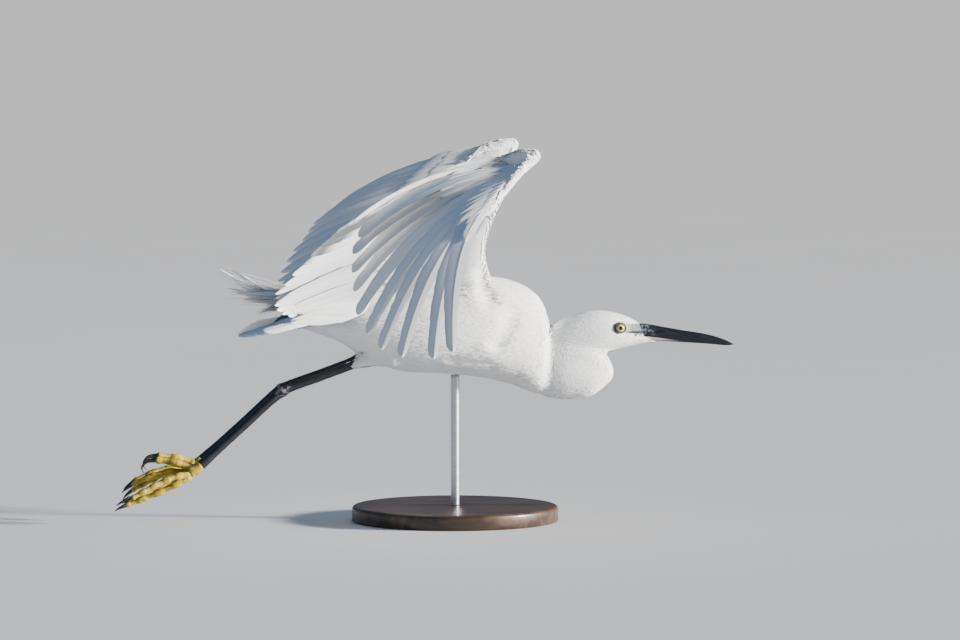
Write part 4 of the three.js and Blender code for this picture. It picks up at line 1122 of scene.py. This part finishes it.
def tail_feathers():
    """Groups of tail feathers: the fan, and coverts over and under it."""
    slope = np.radians(14.5)

    def reach(turn, length):
        return np.array([-78, 0, 203]) + np.stack([
            -length * np.cos(turn) * np.cos(slope), length * np.sin(turn),
            -length * np.cos(turn) * np.sin(slope)], -1)

    def fan(count, spread, length, width, lift, root_at, rows, outline, sag=1.5):
        place = np.linspace(-1, 1, count)
        turn = np.radians(spread) * place
        up = np.array([0, 0, 1.0])
        root = reach(turn, root_at) + up * (lift - 3 * np.abs(place))[:, None]
        tip = reach(turn, length * (1 - 0.035 * place**2)) + up * (lift + 2.5 * np.abs(place))[:, None]
        face, tip_face = (np.stack([np.full(count, -0.2), 0.2 * np.sign(place) + roll * place,
                                    np.ones(count)], -1)
                          for roll in (0.35, 0.25))
        return large_feathers(root, tip, up * (sag - np.abs(place))[:, None], unit(face), unit(tip_face),
                              np.full(count, width), outline, 0.5, rows=rows, point=0.07)

    def flank(side, count=13):
        """The coverts of one side, which lie over the roots of the fan from the rump outwards."""
        place = np.linspace(0, 1, count)
        share = place[:, None]
        root = through((-76, 17, 208), (-80, 24, 203.5), (-84, 28, 196))(place)
        tip = through((-158, 24, 203), (-152, 36, 196.5), (-151, 46.5, 186.5))(place)
        tip = tip + chance.normal(0, 4, (count, 1)) * (1, 0, 0)
        face = unit(np.array([-0.15, 0.55, 0.85]) * (1 - share) + np.array([-0.1, 0.93, 0.4]) * share)
        bow = np.array([0, 2.6, 1.0]) * np.ones((count, 1)) - np.array([0, 0, 2.6]) * share
        return large_feathers(root, tip, bow, face, face, np.full(count, 10.5), FLANK_OUTLINE, 0.5,
                              rows=20, thick=0.3, point=0.35) * (MIRROR if side < 0 else 1)

    return [
        flank(1), flank(-1),
        fan(12, 31, 126, 16.5, 0, 34, 26, [(0, 0.3), (0.5, 0.92), (0.9, 0.95), (1, 0.8)]),
        fan(11, 27, 92, 15, 2.4, 24, 15, COVERT_OUTLINE),
        fan(10, 25, 72, 14, 4.4, 12, 12, COVERT_OUTLINE),
        fan(9, 22, 92, 15, -4.0, 26, 15, COVERT_OUTLINE),
    ]


feather_piece("tail_feathers", tail_feathers(), ["tail"])

# %% [markdown]
# ## Loose plumes
#
# From the lower back hang the loose plumes, whose barbs don't hook together: they are long thin strands, so
# each is a slim tube that follows its own bend, and a few narrow webs in their middle make the tuft dense.

# %% Loose plumes of the back
# Rows of a plume: its tip, how far to the side its root is, how far it bends, and its thickness.
PLUMES = [
    ((-222.5, 3, 236), 3, -19, 3.0), ((-207, -6, 222), -7, -12, 3.0), ((-214, 11, 213), 10, -4, 2.6),
    ((-203, -13, 207), -11, -2.5, 2.4), ((-198, 16, 203), 14, 0.5, 2.0), ((-186, 6, 193), 6, 2.5, 1.6),
]


def plume_vanes():
    """Soft narrow webs in the middle of the plumes, three to each, which make the tuft dense."""
    tips, across, bows, sizes = (np.repeat(np.array(v, float), 3, axis=0) for v in zip(*PLUMES))
    n = len(tips)
    spread = chance.normal(0, 1, (n, 3)) * (0, 1.0, 1.3)
    root = np.stack([np.full(n, -70.0), across, np.full(n, 211.5)], -1) + spread
    tip = blend(root, tips, np.tile([0.97, 0.9, 0.84], n // 3)[:, None]) + spread * (0, 1.2, 1.2)
    tip[:, 2] = tips[:, 2] - (tips[:, 2] - tip[:, 2]) * 1.6
    bow = np.stack([np.zeros(n), np.zeros(n), bows], -1)
    face = unit(np.tile([(0, -1, 0.35), (0, 0.75, 0.7), (0, -0.45, 0.9)], (n // 3, 1)).astype(float))
    return large_feathers(root, tip, bow, face, face, sizes * 3.6,
                          [(0, 0.7), (0.45, 1), (0.75, 0.62), (1, 0.03)],
                          0.5, rows=26, crown=0.05, thick=0.25, shaft=0.3, ragged=0.16, point=0.02)


feather_piece("plume_webs", [plume_vanes()])


def plume_strands(each=150):
    """Strands of all plumes as closed three-sided tubes. A strand runs along its plume's curve, keeps its own
    distance from it, drawn to nothing at the tip by 1 - t ** 5, and thins to its end."""
    tips, across, bows, sizes = (np.array(v, float) for v in zip(*PLUMES))
    n = len(tips) * each
    tip, size = np.repeat(tips, each, 0), np.repeat(sizes, each)[:, None, None]
    root = np.stack([np.full(n, -60.0), np.repeat(across, each), np.full(n, 212.8)], -1)
    control = (root + tip) / 2
    control[:, 2] += 2 * np.repeat(bows, each)
    reach = chance.uniform(0.62, 1.0, (n, 1, 1)) ** 0.6
    reach[::each] = 1.0
    s = np.linspace(0, 1, 17)[None, :, None]
    t = 0.12 * chance.random((n, 1, 1)) + s * (reach - 0.12)
    at = (1 - t) ** 2 * root[:, None] + 2 * t * (1 - t) * control[:, None] + t**2 * tip[:, None]
    own = chance.normal(0, 1, (n, 1, 3)) * (0, 1.0, 1.15)
    at = at + size * own * (0.75 + 0.5 * t) * (1 - np.clip(t, 0, 1) ** 5)
    at = at + np.array([0, 0.7, 0.8]) * np.sin(5 * s + chance.uniform(0, 6.3, (n, 1, 1))) * s**1.6
    at = at + (chance.random((n, 1, 1)) < 0.1) * s**2 * chance.normal(0, 4, (n, 1, 3)) * (0, 0.6, 1)
    ahead = unit(np.gradient(at, axis=1))
    side = unit(np.cross(ahead, [0.1, 0.75, 0.5]))
    over = np.cross(side, ahead)
    half = chance.uniform(0.28, 0.6, (n, 1, 1)) * (1 - s) ** 0.5 + 0.06
    return np.stack([at - side * half, at + over * half * 0.45, at + side * half], 2)


strands = plume_strands()
count, rings, sides, _ = strands.shape
ends = np.stack([strands[:, 0].mean(1), strands[:, -1].mean(1)], 1)
plume_points = np.concatenate([strands.reshape(count, -1, 3), ends], 1)
one = tube(strands[0])[1]
plume_triangles = one[None] + (rings * sides + 2) * np.arange(count)[:, None, None]
plume_flat = tube_map(one, rings, sides, 1, 1)
plume_place = np.stack([chance.uniform(0.05, 0.95, count), chance.uniform(0.05, 0.95, count)], -1)
plume_patch = plume_place[:, None, None] + BAKE_PATCH * (plume_flat[None] - 0.5)
plumes = piece(
    "loose_plumes", plume_points, plume_triangles.reshape(-1, 3), SOFT_WHITE,
    {"pattern": np.tile(plume_flat, (count, 1, 1)), "OFBake": plume_patch.reshape(-1, 3, 2)},
    np.repeat(chance.random(count), rings * sides + 2))
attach(plumes, "root")
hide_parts("back_plumes")

# %% [markdown]
# ## Bill
#
# The bill is a straight dagger of horn in two halves that meet along the mouth. Each half is one surface:
# the place along it and the turn round it, where the turn runs over the ridge for the upper half and below
# for the lower one. The nostril is a slit, made as a dent of the surface as on the skin.

# %% Two halves of the bill
bill_top = stations([(162, 178), (172, 181), (193, 177.6), (212, 174.2), (227, 171.8), (240, 168.8),
                     (251, 164.9), (258.4, 161.2)])
bill_foot = stations([(160, 165), (177.6, 164.4), (192, 164.2), (218.5, 162.7), (235.5, 161.5), (248, 160.3),
                      (254, 160.1), (257.2, 160.7)])
bill_width = stations([(160, 8.2), (176, 6.2), (195, 4.6), (225, 3.1), (246, 1.8), (258.4, 0.5)])
MOUTH_GAP = 0.03


def bill_half(side, to):
    """Rings of one half: y = half * cos turn, z = mouth + depth * sin(turn) ** 0.8, with a flat closing
    face."""
    x = blend(164, to, 1 - (1 - np.linspace(0, 1, 70)) ** 1.25)[:, None]
    mouth, half = mouth_line(x)[0] + side * MOUTH_GAP, bill_width(x)[0]
    outer = (bill_top if side > 0 else bill_foot)(x)[0]
    depth = side * np.maximum(side * (outer - mouth), 0.2)
    turn = np.pi * np.linspace(0, 1, 25)
    y = half * side * np.cos(turn)
    z = mouth + depth * np.sin(turn).clip(0) ** 0.8
    if side > 0:
        slit = np.exp(-(((x - 184.5) / 5.2) ** 4) - ((z - 174.4 + (x - 184) * 0.12) / 0.75) ** 2)
        groove = np.exp(-((z - 174.4 + (x - 184) * 0.16) / 1.1) ** 2)
        groove = groove * np.clip((x - 176) / 6, 0, 1) * np.clip((226 - x) / 30, 0, 1)
        y = y - np.sign(y) * (1.3 * slit + 0.45 * groove)
    inside = np.pi * np.linspace(1, 0, 9)[1:-1]
    flat_y = half * side * np.cos(inside)
    flat_z = np.broadcast_to(mouth, flat_y.shape)
    y, z = np.concatenate([y, flat_y], 1), np.concatenate([z, flat_z], 1)
    return np.stack([np.broadcast_to(x, y.shape), y, z], -1)


def bill_finish():
    """Blue-black horn with a soft gloss and fine grain along the bill. The root of the lower half is a
    pale pinkish grey."""
    paint = Finish("black_horn_bill", Specular_IOR_Level=0.32, Coat_Weight=0.06, Coat_Roughness=0.25)
    x, _, z = paint.axes(paint.place())
    grain = paint.noise(paint.stretched(paint.place(), (120, 900, 900)), 1.0, 4.0, 0.6)
    dust = paint.noise(paint.place(), 420.0, 3.0)
    horn = paint.ramp(grain, (0.3, (0.004, 0.005, 0.008)), (0.62, (0.009, 0.011, 0.017)),
                      (0.8, (0.026, 0.031, 0.042)))
    horn = paint.mixed((1 - x.between(0.168, 0.190)) * dust.between(0.44, 0.62) * 0.6, horn,
                       (0.20, 0.24, 0.29))
    above = (z + x * 0.128).between(0.1914, 0.1922)
    root = (1 - above) * (1 - x.between(0.184, 0.212)) * x.between(0.170, 0.178)
    paint.feed(Base_Color=paint.mixed(root, horn, (0.50, 0.37, 0.37)),
               Roughness=paint.ramp(dust, (0.3, (0.27,) * 3), (0.7, (0.45,) * 3)))
    paint.bump(grain, 0.25, 0.0003)
    return paint.material


BILL_HORN = bill_finish()
for name, side, to in (("bill_upper", 1, 258.2), ("bill_lower", -1, 257.2)):
    half_bill = piece(f"horn_{name}", *tube(bill_half(side, to)), BILL_HORN)
    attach(half_bill, "root")
    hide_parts(name)

# %% [markdown]
# ## Eyes
#
# The eye has a black pupil, a pale yellow iris with fine rays and a dark rim, all under a clear wet
# surface. A ball of many rings is enough for the shape. The colours are rings round the eye's axis, told by
# the distance from it on the piece's own coordinates, and the wet look is a coat. A rim of bare skin holds
# the ball as its lid.

# %% Eyeballs and lids
LID_RINGS, LID_SIDES = 48, 10


def ball(centre, radius, rings=28, sides=40):
    """Rings of a ball whose poles lie on the y axis."""
    turn, around = np.pi * (np.arange(rings) + 0.5) / rings, 2 * np.pi * np.arange(sides) / sides
    ring = np.stack(np.broadcast_arrays(
        np.sin(turn)[:, None] * np.cos(around), -np.cos(turn)[:, None],
        np.sin(turn)[:, None] * np.sin(around)), -1)
    return centre + radius * ring


def eye_finish():
    """Pupil, iris and dark rim by the distance from the axis through the eye."""
    paint = Finish("wet_pale_eye", Roughness=0.12, Coat_Weight=1.0, Coat_Roughness=0.02,
                   Specular_IOR_Level=0.6)
    place = paint.place()
    away = paint.node("ShaderNodeVectorMath", {"operation": "DISTANCE"}, {
        0: paint.stretched(place, (1, 0, 1)), 1: (EYE[0] * MM + 0.0004, 0, EYE[2] * MM)}, "Value")
    rays = paint.noise(place, 2600.0, 2.0)
    iris = paint.mixed(rays.between(0.3, 0.7), (0.42, 0.36, 0.12), (0.66, 0.60, 0.30))
    iris = paint.mixed(1 - away.between(0.0018, 0.0024), iris, (0.30, 0.25, 0.09))
    dark = paint.mixed(away.between(0.0015, 0.00175), (0.004, 0.004, 0.005), iris)
    paint.feed(Base_Color=paint.mixed(away.between(0.0032, 0.0037), dark, (0.02, 0.022, 0.02)))
    return paint.material


def lid_finish():
    """Thin dark olive skin with fine folds."""
    paint = Finish("bare_lid_skin", Roughness=0.55, Specular_IOR_Level=0.4)
    fine = paint.noise(paint.place(), 1500.0, 3.0)
    paint.feed(Base_Color=paint.ramp(fine, (0.35, (0.035, 0.038, 0.030)), (0.7, (0.16, 0.17, 0.11))))
    paint.bump(fine, 0.5, 0.0004)
    return paint.material


def lid_rings(side):
    """An almond-shaped rim: radius 4.35 mm, drawn out by 0.75 mm fore and aft, and thicker above."""
    around = 2 * np.pi * np.arange(LID_RINGS) / LID_RINGS
    turn = 2 * np.pi * np.arange(LID_SIDES) / LID_SIDES
    out = 4.35 + 0.75 * np.abs(np.cos(around)) ** 6
    radial = np.stack([np.cos(around), np.zeros(LID_RINGS), np.sin(around)], -1)[:, None]
    tube_size = 0.72 + 0.22 * np.sin(around)[:, None, None].clip(0)
    proud = (2.85 - 0.3 * np.abs(np.cos(around)) ** 4)[:, None, None]
    centre = EYE * (1, side, 1) + radial * out[:, None, None] + np.array([0, 1.0, 0]) * side * proud
    return centre + tube_size * (radial * np.cos(turn)[:, None] + np.array([0, 1.0, 0])
                                 * np.sin(turn)[:, None])


def hoop_triangles(rings, sides):
    """Triangles of a tube whose end meets its start."""
    i, j = np.meshgrid(np.arange(rings), np.arange(sides), indexing="ij")
    a, b = i * sides + j, i * sides + (j + 1) % sides
    c, d = (i + 1) % rings * sides + j, (i + 1) % rings * sides + (j + 1) % sides
    return np.stack([a, b, c, b, d, c], -1).reshape(-1, 3)


EYE_WET, LID_SKIN = eye_finish(), lid_finish()
for name, side in (("left", 1), ("right", -1)):
    eye = piece(f"eyeball_{name}", *tube(ball(EYE * (1, side, 1), EYE_RADIUS)), EYE_WET)
    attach(eye, "root")
    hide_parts(f"eye_{name}")
    rim = lid_rings(side)
    hoop = hoop_triangles(LID_RINGS, LID_SIDES)
    a, b, c = rim.reshape(-1, 3)[hoop.T]
    if (a * np.cross(b, c)).sum() < 0:
        hoop = hoop[:, ::-1]
    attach(piece(f"lid_{name}", rim, hoop, LID_SKIN), "root")

# %% [markdown]
# ## Legs and feet
#
# The bare part of the leg is black and covered in small plates, the toes are yellow and swell at each
# joint. Each is a limb: rings round a path with a radius that changes on the way. The plates are a cell
# pattern on the limb's own flat map, measured in millimetres, so the plates keep their size on thick and
# thin parts.

# %% Finishes of the scaled skin
def scaled_skin(name, dark, light, crease, size, gloss, relief, mottle_and_highlight, middle, reach):
    """Plates with dark creases: the creases are where two cells of the pattern are equally near. Blotches of
    another colour lie where a coarse noise is high, within reach of a middle that is told by x and z: a
    painted grey highlight round the ankle of the black leg, and a dark olive mottle on the foot."""
    paint = Finish(name, Roughness=gloss, Specular_IOR_Level=0.45)
    flat = paint.stretched(paint.flat(), (1 / size, 1 / size, 1))
    edge = paint.node("ShaderNodeTexVoronoi", {"feature": "DISTANCE_TO_EDGE", "voronoi_dimensions": "2D"},
                      {"Vector": flat, "Scale": 1.0, "Randomness": 0.75}, "Distance")
    tint = paint.noise(paint.place(), 130.0, 4.0, 0.6)
    plate = paint.mixed(tint.between(0.35, 0.65), dark, light)
    line = 1 - edge.between(0.0, 0.16)
    away = paint.node("ShaderNodeVectorMath", {"operation": "DISTANCE"}, {
        0: paint.stretched(paint.place(), (1, 0, 1)), 1: (middle[0] * MM, 0, middle[2] * MM)}, "Value")
    mottle_and_highlight_mask = paint.noise(paint.stretched(paint.place(), (150, 260, 240)), 1.0, 3.0, 0.6).between(0.48, 0.62)
    # Painted highlight on the black leg: grey blotches round the ankle. On the foot the same mask gives its
    # own dark mottle.
    plate = paint.mixed(mottle_and_highlight_mask * (1 - away.between(reach * 0.5 * MM, reach * MM)), plate, mottle_and_highlight)
    paint.feed(Base_Color=paint.mixed(line * 0.75, plate, crease))
    paint.bump(edge.between(0.0, 0.22) + tint * 0.3, relief, 0.0004)
    return paint.material


# The grey (0.20, 0.21, 0.23) round the ankle is a painted highlight.
LEG_BLACK = scaled_skin("black_scaled_leg", (0.004, 0.005, 0.008), (0.010, 0.012, 0.018),
                        (0.003, 0.003, 0.005), 1.5, 0.5, 0.22,
                        (0.20, 0.21, 0.23), ANKLE, 11)
FOOT_YELLOW = scaled_skin("yellow_scaled_foot", (0.42, 0.27, 0.012), (0.60, 0.45, 0.03), (0.16, 0.10, 0.008),
                          1.4, 0.5, 0.3,
                          (0.20, 0.17, 0.02), TOE_BASE + (-30, 0, -12), 90)


def leg_piece(name, rings, finish, round_mm, long_mm, *nodes):
    """A closed limb with its flat map in millimetres."""
    points, triangles = tube(rings)
    pattern = tube_map(triangles, rings.shape[0], rings.shape[1], round_mm, long_mm)
    made = piece(name, points, triangles, finish, {"pattern": pattern})
    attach(made, "root")
    if nodes:
        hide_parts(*nodes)


# %% [markdown]
# ## Legs, toes and claws
#
# A leg swells at the ankle, and a toe at each of its pads. The number of pads grows from the hind toe to
# the outer one. Claws taper to a point along a hooked path. The two feet hang a little apart in height.

# %% Legs, toes and claws
# Each toe: its path, its number of pads, its radius, and the path of its claw.
TOES = {
    "hallux": (((-240, 14, 52), (-257, 12.5, 57.6), (-275, 11, 60.2)), 2, 3.9,
               ((-274, 11, 60.2), (-283.5, 10.6, 58.6), (-287.6, 10.4, 52.6), (-284.6, 10.6, 46.6))),
    "inner": (((-243, 13, 49), (-262, 9.5, 49.2), (-280, 7.5, 44.6), (-297, 6.5, 37.2)), 3, 3.2,
              ((-296.4, 6.5, 37.4), (-300.5, 6.1, 34.4), (-304, 5.7, 31.8), (-306, 5.6, 29.6))),
    "middle": (((-242, 15.5, 46), (-262, 16, 35.6), (-283, 15, 26.4), (-303, 14.5, 19)), 4, 3.5,
               ((-302.4, 14.5, 19.3), (-306.5, 14.3, 17.4), (-310, 14.1, 15.6), (-312.5, 14, 13.6))),
    "outer": (((-243, 17, 48), (-262, 21, 44), (-281, 24.5, 35.6), (-298, 26, 26.4)), 5, 3.3,
              ((-297.4, 26, 26.9), (-301.5, 26.5, 23.6), (-304.5, 27, 20.6), (-306, 27.3, 17.8))),
}


def claw_finish():
    """Black horn, glossy in some patches and duller in others, by a fine noise."""
    paint = Finish("black_claw_horn", Specular_IOR_Level=0.5)
    grain = paint.noise(paint.place(), 700.0, 3.0)
    paint.feed(Base_Color=paint.ramp(grain, (0.35, (0.010, 0.010, 0.012)), (0.7, (0.05, 0.048, 0.045))),
               Roughness=paint.ramp(grain, (0.3, (0.22,) * 3), (0.7, (0.42,) * 3)))
    paint.bump(grain, 0.15, 0.0002)
    return paint.material


CLAW_HORN = claw_finish()


def swell(share, place, reach, size):
    """A rounded swelling at a place: size * exp(-((share - place) / reach) ** 2)."""
    return size * np.exp(-(((share - place) / reach) ** 2))


def leg_radius(s):
    """The radius of the bare leg: thicker at the ankle and the toes, and faintly uneven."""
    return 3.8 + swell(s, 0.51, 0.085, 1.25) + swell(s, 1, 0.06,
                                                     0.8) + 0.08 * np.sin(150 * s) * np.sin(31 * s)


def toe_radius(thick, pads):
    """The radius of a toe: it thins, swells at each pad, has fine creases and rounded ends."""
    def at(s):
        pad, crease = 0.13 * np.cos(2 * np.pi * pads * s), 0.05 * np.abs(np.cos(np.pi * pads * 3 * s)) ** 8
        tip = np.sqrt(np.clip(1 - (np.clip(s - 0.95, 0, 1) / 0.06) ** 2, 0.1, 1))
        return thick * (blend(1, 0.74, s) + pad - crease) * tip * np.sqrt(np.clip(s / 0.07, 0.02, 1))
    return at


def one_leg(name, side, drop):
    """All pieces of one leg. The foot hangs lower by drop."""
    turn = np.array([1, side, 1.0])
    lowered = lambda p, share: np.asarray(p, float) + np.array([-0.7, 0, -0.7]) * drop * share
    ankle, toe_base = lowered(ANKLE, 0.2), lowered(TOE_BASE, 1)
    bare = limb(
        through(SHANK_TOP + (6, 0, 2.4), blend(SHANK_TOP, ankle, 0.5), blend(SHANK_TOP, ankle, 0.93),
                blend(ankle, toe_base, 0.05),
                blend(ankle, toe_base, 0.5), toe_base),
        leg_radius, 170, 24, 0.86)
    leg_piece(f"bare_leg_{name}", bare * turn, LEG_BLACK, 25, 174, f"shank_{name}", f"tarsus_{name}")
    ball_of_foot = limb(through(toe_base + (2, 0, 1.8), toe_base + (-3.5, 0, -2.6), toe_base + (-10, 0, -6)),
                        lambda s: blend(4.6, 5.6, s) * (1 - 0.5 * np.clip((s - 0.8) / 0.2, 0, 1) ** 2)
                        * (1 - 0.25 * np.clip(1 - s / 0.15, 0, 1) ** 2), 20, 20, 0.95)
    leg_piece(f"foot_pad_{name}", ball_of_foot * turn, FOOT_YELLOW, 32, 20, f"foot_{name}")
    for toe, (path, pads, thick, claw) in TOES.items():
        curve = through(*(lowered(p, 1) for p in path))
        leg_piece(f"toe_{toe}_{name}", limb(curve, toe_radius(thick, pads), 60, 16) * turn, FOOT_YELLOW, 21,
                  60)
        size = thick * 0.48
        hook = limb(through(*(lowered(p, 1) for p in claw)), lambda s: blend(size, 0.25, s**0.9), 20, 14, 1.3,
                    (0, 1, 0))
        leg_piece(f"horn_claw_{toe}_{name}", hook * turn, CLAW_HORN, 1, 1, f"claw_{toe}_{name}")


one_leg("left", 1, -1.5)
one_leg("right", -1, 1.5)

# %% [markdown]
# ## Stand
#
# The stand is plain: a turned base of dark wood with a rounded edge, and a brushed steel rod. Both are a
# profile carried round the upright axis. The grain of the wood is a stretched noise that runs across the
# base in one direction, as in a sawn board.

# %% Base, rod and floor
def turned_form(profile, sides):
    """Rings of a form turned on a lathe, from points (radius, height) of its profile."""
    r, z = np.array(profile, float).T
    around = 2 * np.pi * np.arange(sides) / sides
    return np.stack(np.broadcast_arrays(r[:, None] * np.cos(around), r[:, None] * np.sin(around), z[:, None]),
                    -1)


def wood_finish():
    """Dark varnished wood with grain along x."""
    paint = Finish("dark_varnished_wood", Coat_Weight=0.25, Coat_Roughness=0.2, Specular_IOR_Level=0.45)
    place = paint.place()
    wide = paint.noise(paint.stretched(place, (4, 46, 30)), 1.0, 4.0, 0.6)
    pores = paint.noise(paint.stretched(place, (40, 900, 600)), 1.0, 3.0, 0.7)
    rings = (wide * 34).math("SINE") * 0.5 + 0.5
    wood = paint.ramp(rings * 0.65 + wide * 0.5, (0.15, (0.020, 0.010, 0.006)), (0.6, (0.048, 0.025, 0.014)),
                      (1.0, (0.075, 0.041, 0.022)))
    paint.feed(Base_Color=paint.mixed(pores.between(0.58, 0.72) * 0.6, wood, (0.012, 0.007, 0.005)),
               Roughness=paint.ramp(pores, (0.3, (0.34,) * 3), (0.75, (0.5,) * 3)))
    paint.bump(pores, 0.2, 0.0003)
    return paint.material


def steel_finish():
    """Steel brushed round the rod: fine level lines."""
    paint = Finish("brushed_steel_rod", Metallic=1.0)
    lines = paint.noise(paint.stretched(paint.place(), (60, 60, 5200)), 1.0, 2.0)
    paint.feed(Base_Color=paint.ramp(lines, (0.3, (0.50, 0.51, 0.53)), (0.7, (0.66, 0.67, 0.69))),
               Roughness=paint.ramp(lines, (0.3, (0.24,) * 3), (0.7, (0.42,) * 3)))
    paint.bump(lines, 0.1, 0.0001)
    return paint.material


rounded = [(92 + 3 * np.cos(a), 11 + 3 * np.sin(a)) for a in np.linspace(0, np.pi / 2, 8)]
base_profile = [(20, 0), (94.2, 0), (95, 0.8), *rounded, (40, 14), (4.6, 14), (3, 13.6)]
base = piece("turned_base", *tube(turned_form(base_profile, 128)), wood_finish())
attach(base, "root")
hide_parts("stand_base")
rod_profile = [(3.4, 13.7), (4, 14.3), *[(4, height) for height in np.linspace(15, 132, 14)], (4, 134.6)]
rod = piece("steel_rod", *tube(turned_form(rod_profile, 40)), steel_finish())
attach(rod, "root")
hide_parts("stand_rod")


def floor_finish():
    """A plain pale floor with the faintest cloudiness."""
    paint = Finish("pale_floor", Roughness=0.85, Specular_IOR_Level=0.15)
    paint.feed(Base_Color=paint.mixed(paint.noise(paint.place(), 3.0), (0.60, 0.61, 0.62),
                                      (0.63, 0.64, 0.65)))
    return paint.material


FLOOR_HALF = 22000.0
floor_corners = np.array([[-1, -1, 0], [1, -1, 0], [1, 1, 0], [-1, 1, 0]]) * FLOOR_HALF - (0, 0, 0.2)
floor = piece("floor", floor_corners, [[0, 1, 2], [0, 2, 3]], floor_finish())

# %% [markdown]
# ## Light and camera
#
# A white bird shows its form only by shade, so the light is like a low sun from ahead of it: one warm key
# from the front right, a cool light from above and behind that tints the shaded wing, and a weak one from
# the near side. The surroundings are a dim blue. The camera is far off with a long lens, as a bird in
# flight is taken.

# %% Lights, surroundings and camera
def standing(right, back, place):
    """The matrix of a lamp or camera from its right side, the way behind it and its place."""
    columns = np.column_stack([right, np.cross(back, right), back, place])
    return Matrix(np.vstack([columns, [0, 0, 0, 1]]).tolist())


def lamp(name, kind, away, size, power, colour):
    """A lamp that shines on the bird from the direction away, in metres. The size of a sun is an angle."""
    data = bpy.data.lights.new(name, kind)
    data.energy, data.color = power, colour
    if kind == "SUN":
        data.angle = size
    else:
        data.size = size
    made = bpy.data.objects.new(name, data)
    away = np.array(away, float)
    back = unit(away)
    made.matrix_world = standing(unit(np.cross([0, 0, 1.0], back)), back, away + [0, 0, 0.2])
    bpy.context.scene.collection.objects.link(made)


lamp("key", "SUN", (3.7, -0.95, 0.76), np.radians(6), 17.0, (1.0, 0.95, 0.89))
lamp("sky", "AREA", (-1.6, 0.3, 3.0), 2.6, 22, (0.20, 0.48, 1.0))
lamp("near_fill", "AREA", (-1.8, -3.2, 1.1), 2.4, 6, (0.45, 0.68, 1.0))

world = bpy.data.worlds.new("surroundings")
bpy.context.scene.world = world
world.use_nodes = True
background = world.node_tree.nodes["Background"]
background.inputs["Color"].default_value = (0.29, 0.39, 0.55, 1)
background.inputs["Strength"].default_value = 0.35

AZIMUTH, ELEVATION, DISTANCE = np.radians(-5), np.radians(4.2), 6.0
FRAME_WIDTH, SENSOR = 0.8832, 36
view_centre = np.array([0.023, 0, 0.185])
back = np.array([np.sin(AZIMUTH) * np.cos(ELEVATION), -np.cos(AZIMUTH) * np.cos(ELEVATION),
                 np.sin(ELEVATION)])
right = np.array([np.cos(AZIMUTH), np.sin(AZIMUTH), 0])
camera_data = bpy.data.cameras.new("camera")
camera_data.sensor_width = SENSOR
camera_data.lens = SENSOR * DISTANCE / FRAME_WIDTH
camera_data.clip_end = 100
camera = bpy.data.objects.new("camera", camera_data)
camera.matrix_world = standing(right, back, view_centre + back * DISTANCE)
bpy.context.scene.collection.objects.link(camera)
bpy.context.scene.camera = camera
print("lens", round(camera_data.lens, 1), "mm, camera", camera.location[:])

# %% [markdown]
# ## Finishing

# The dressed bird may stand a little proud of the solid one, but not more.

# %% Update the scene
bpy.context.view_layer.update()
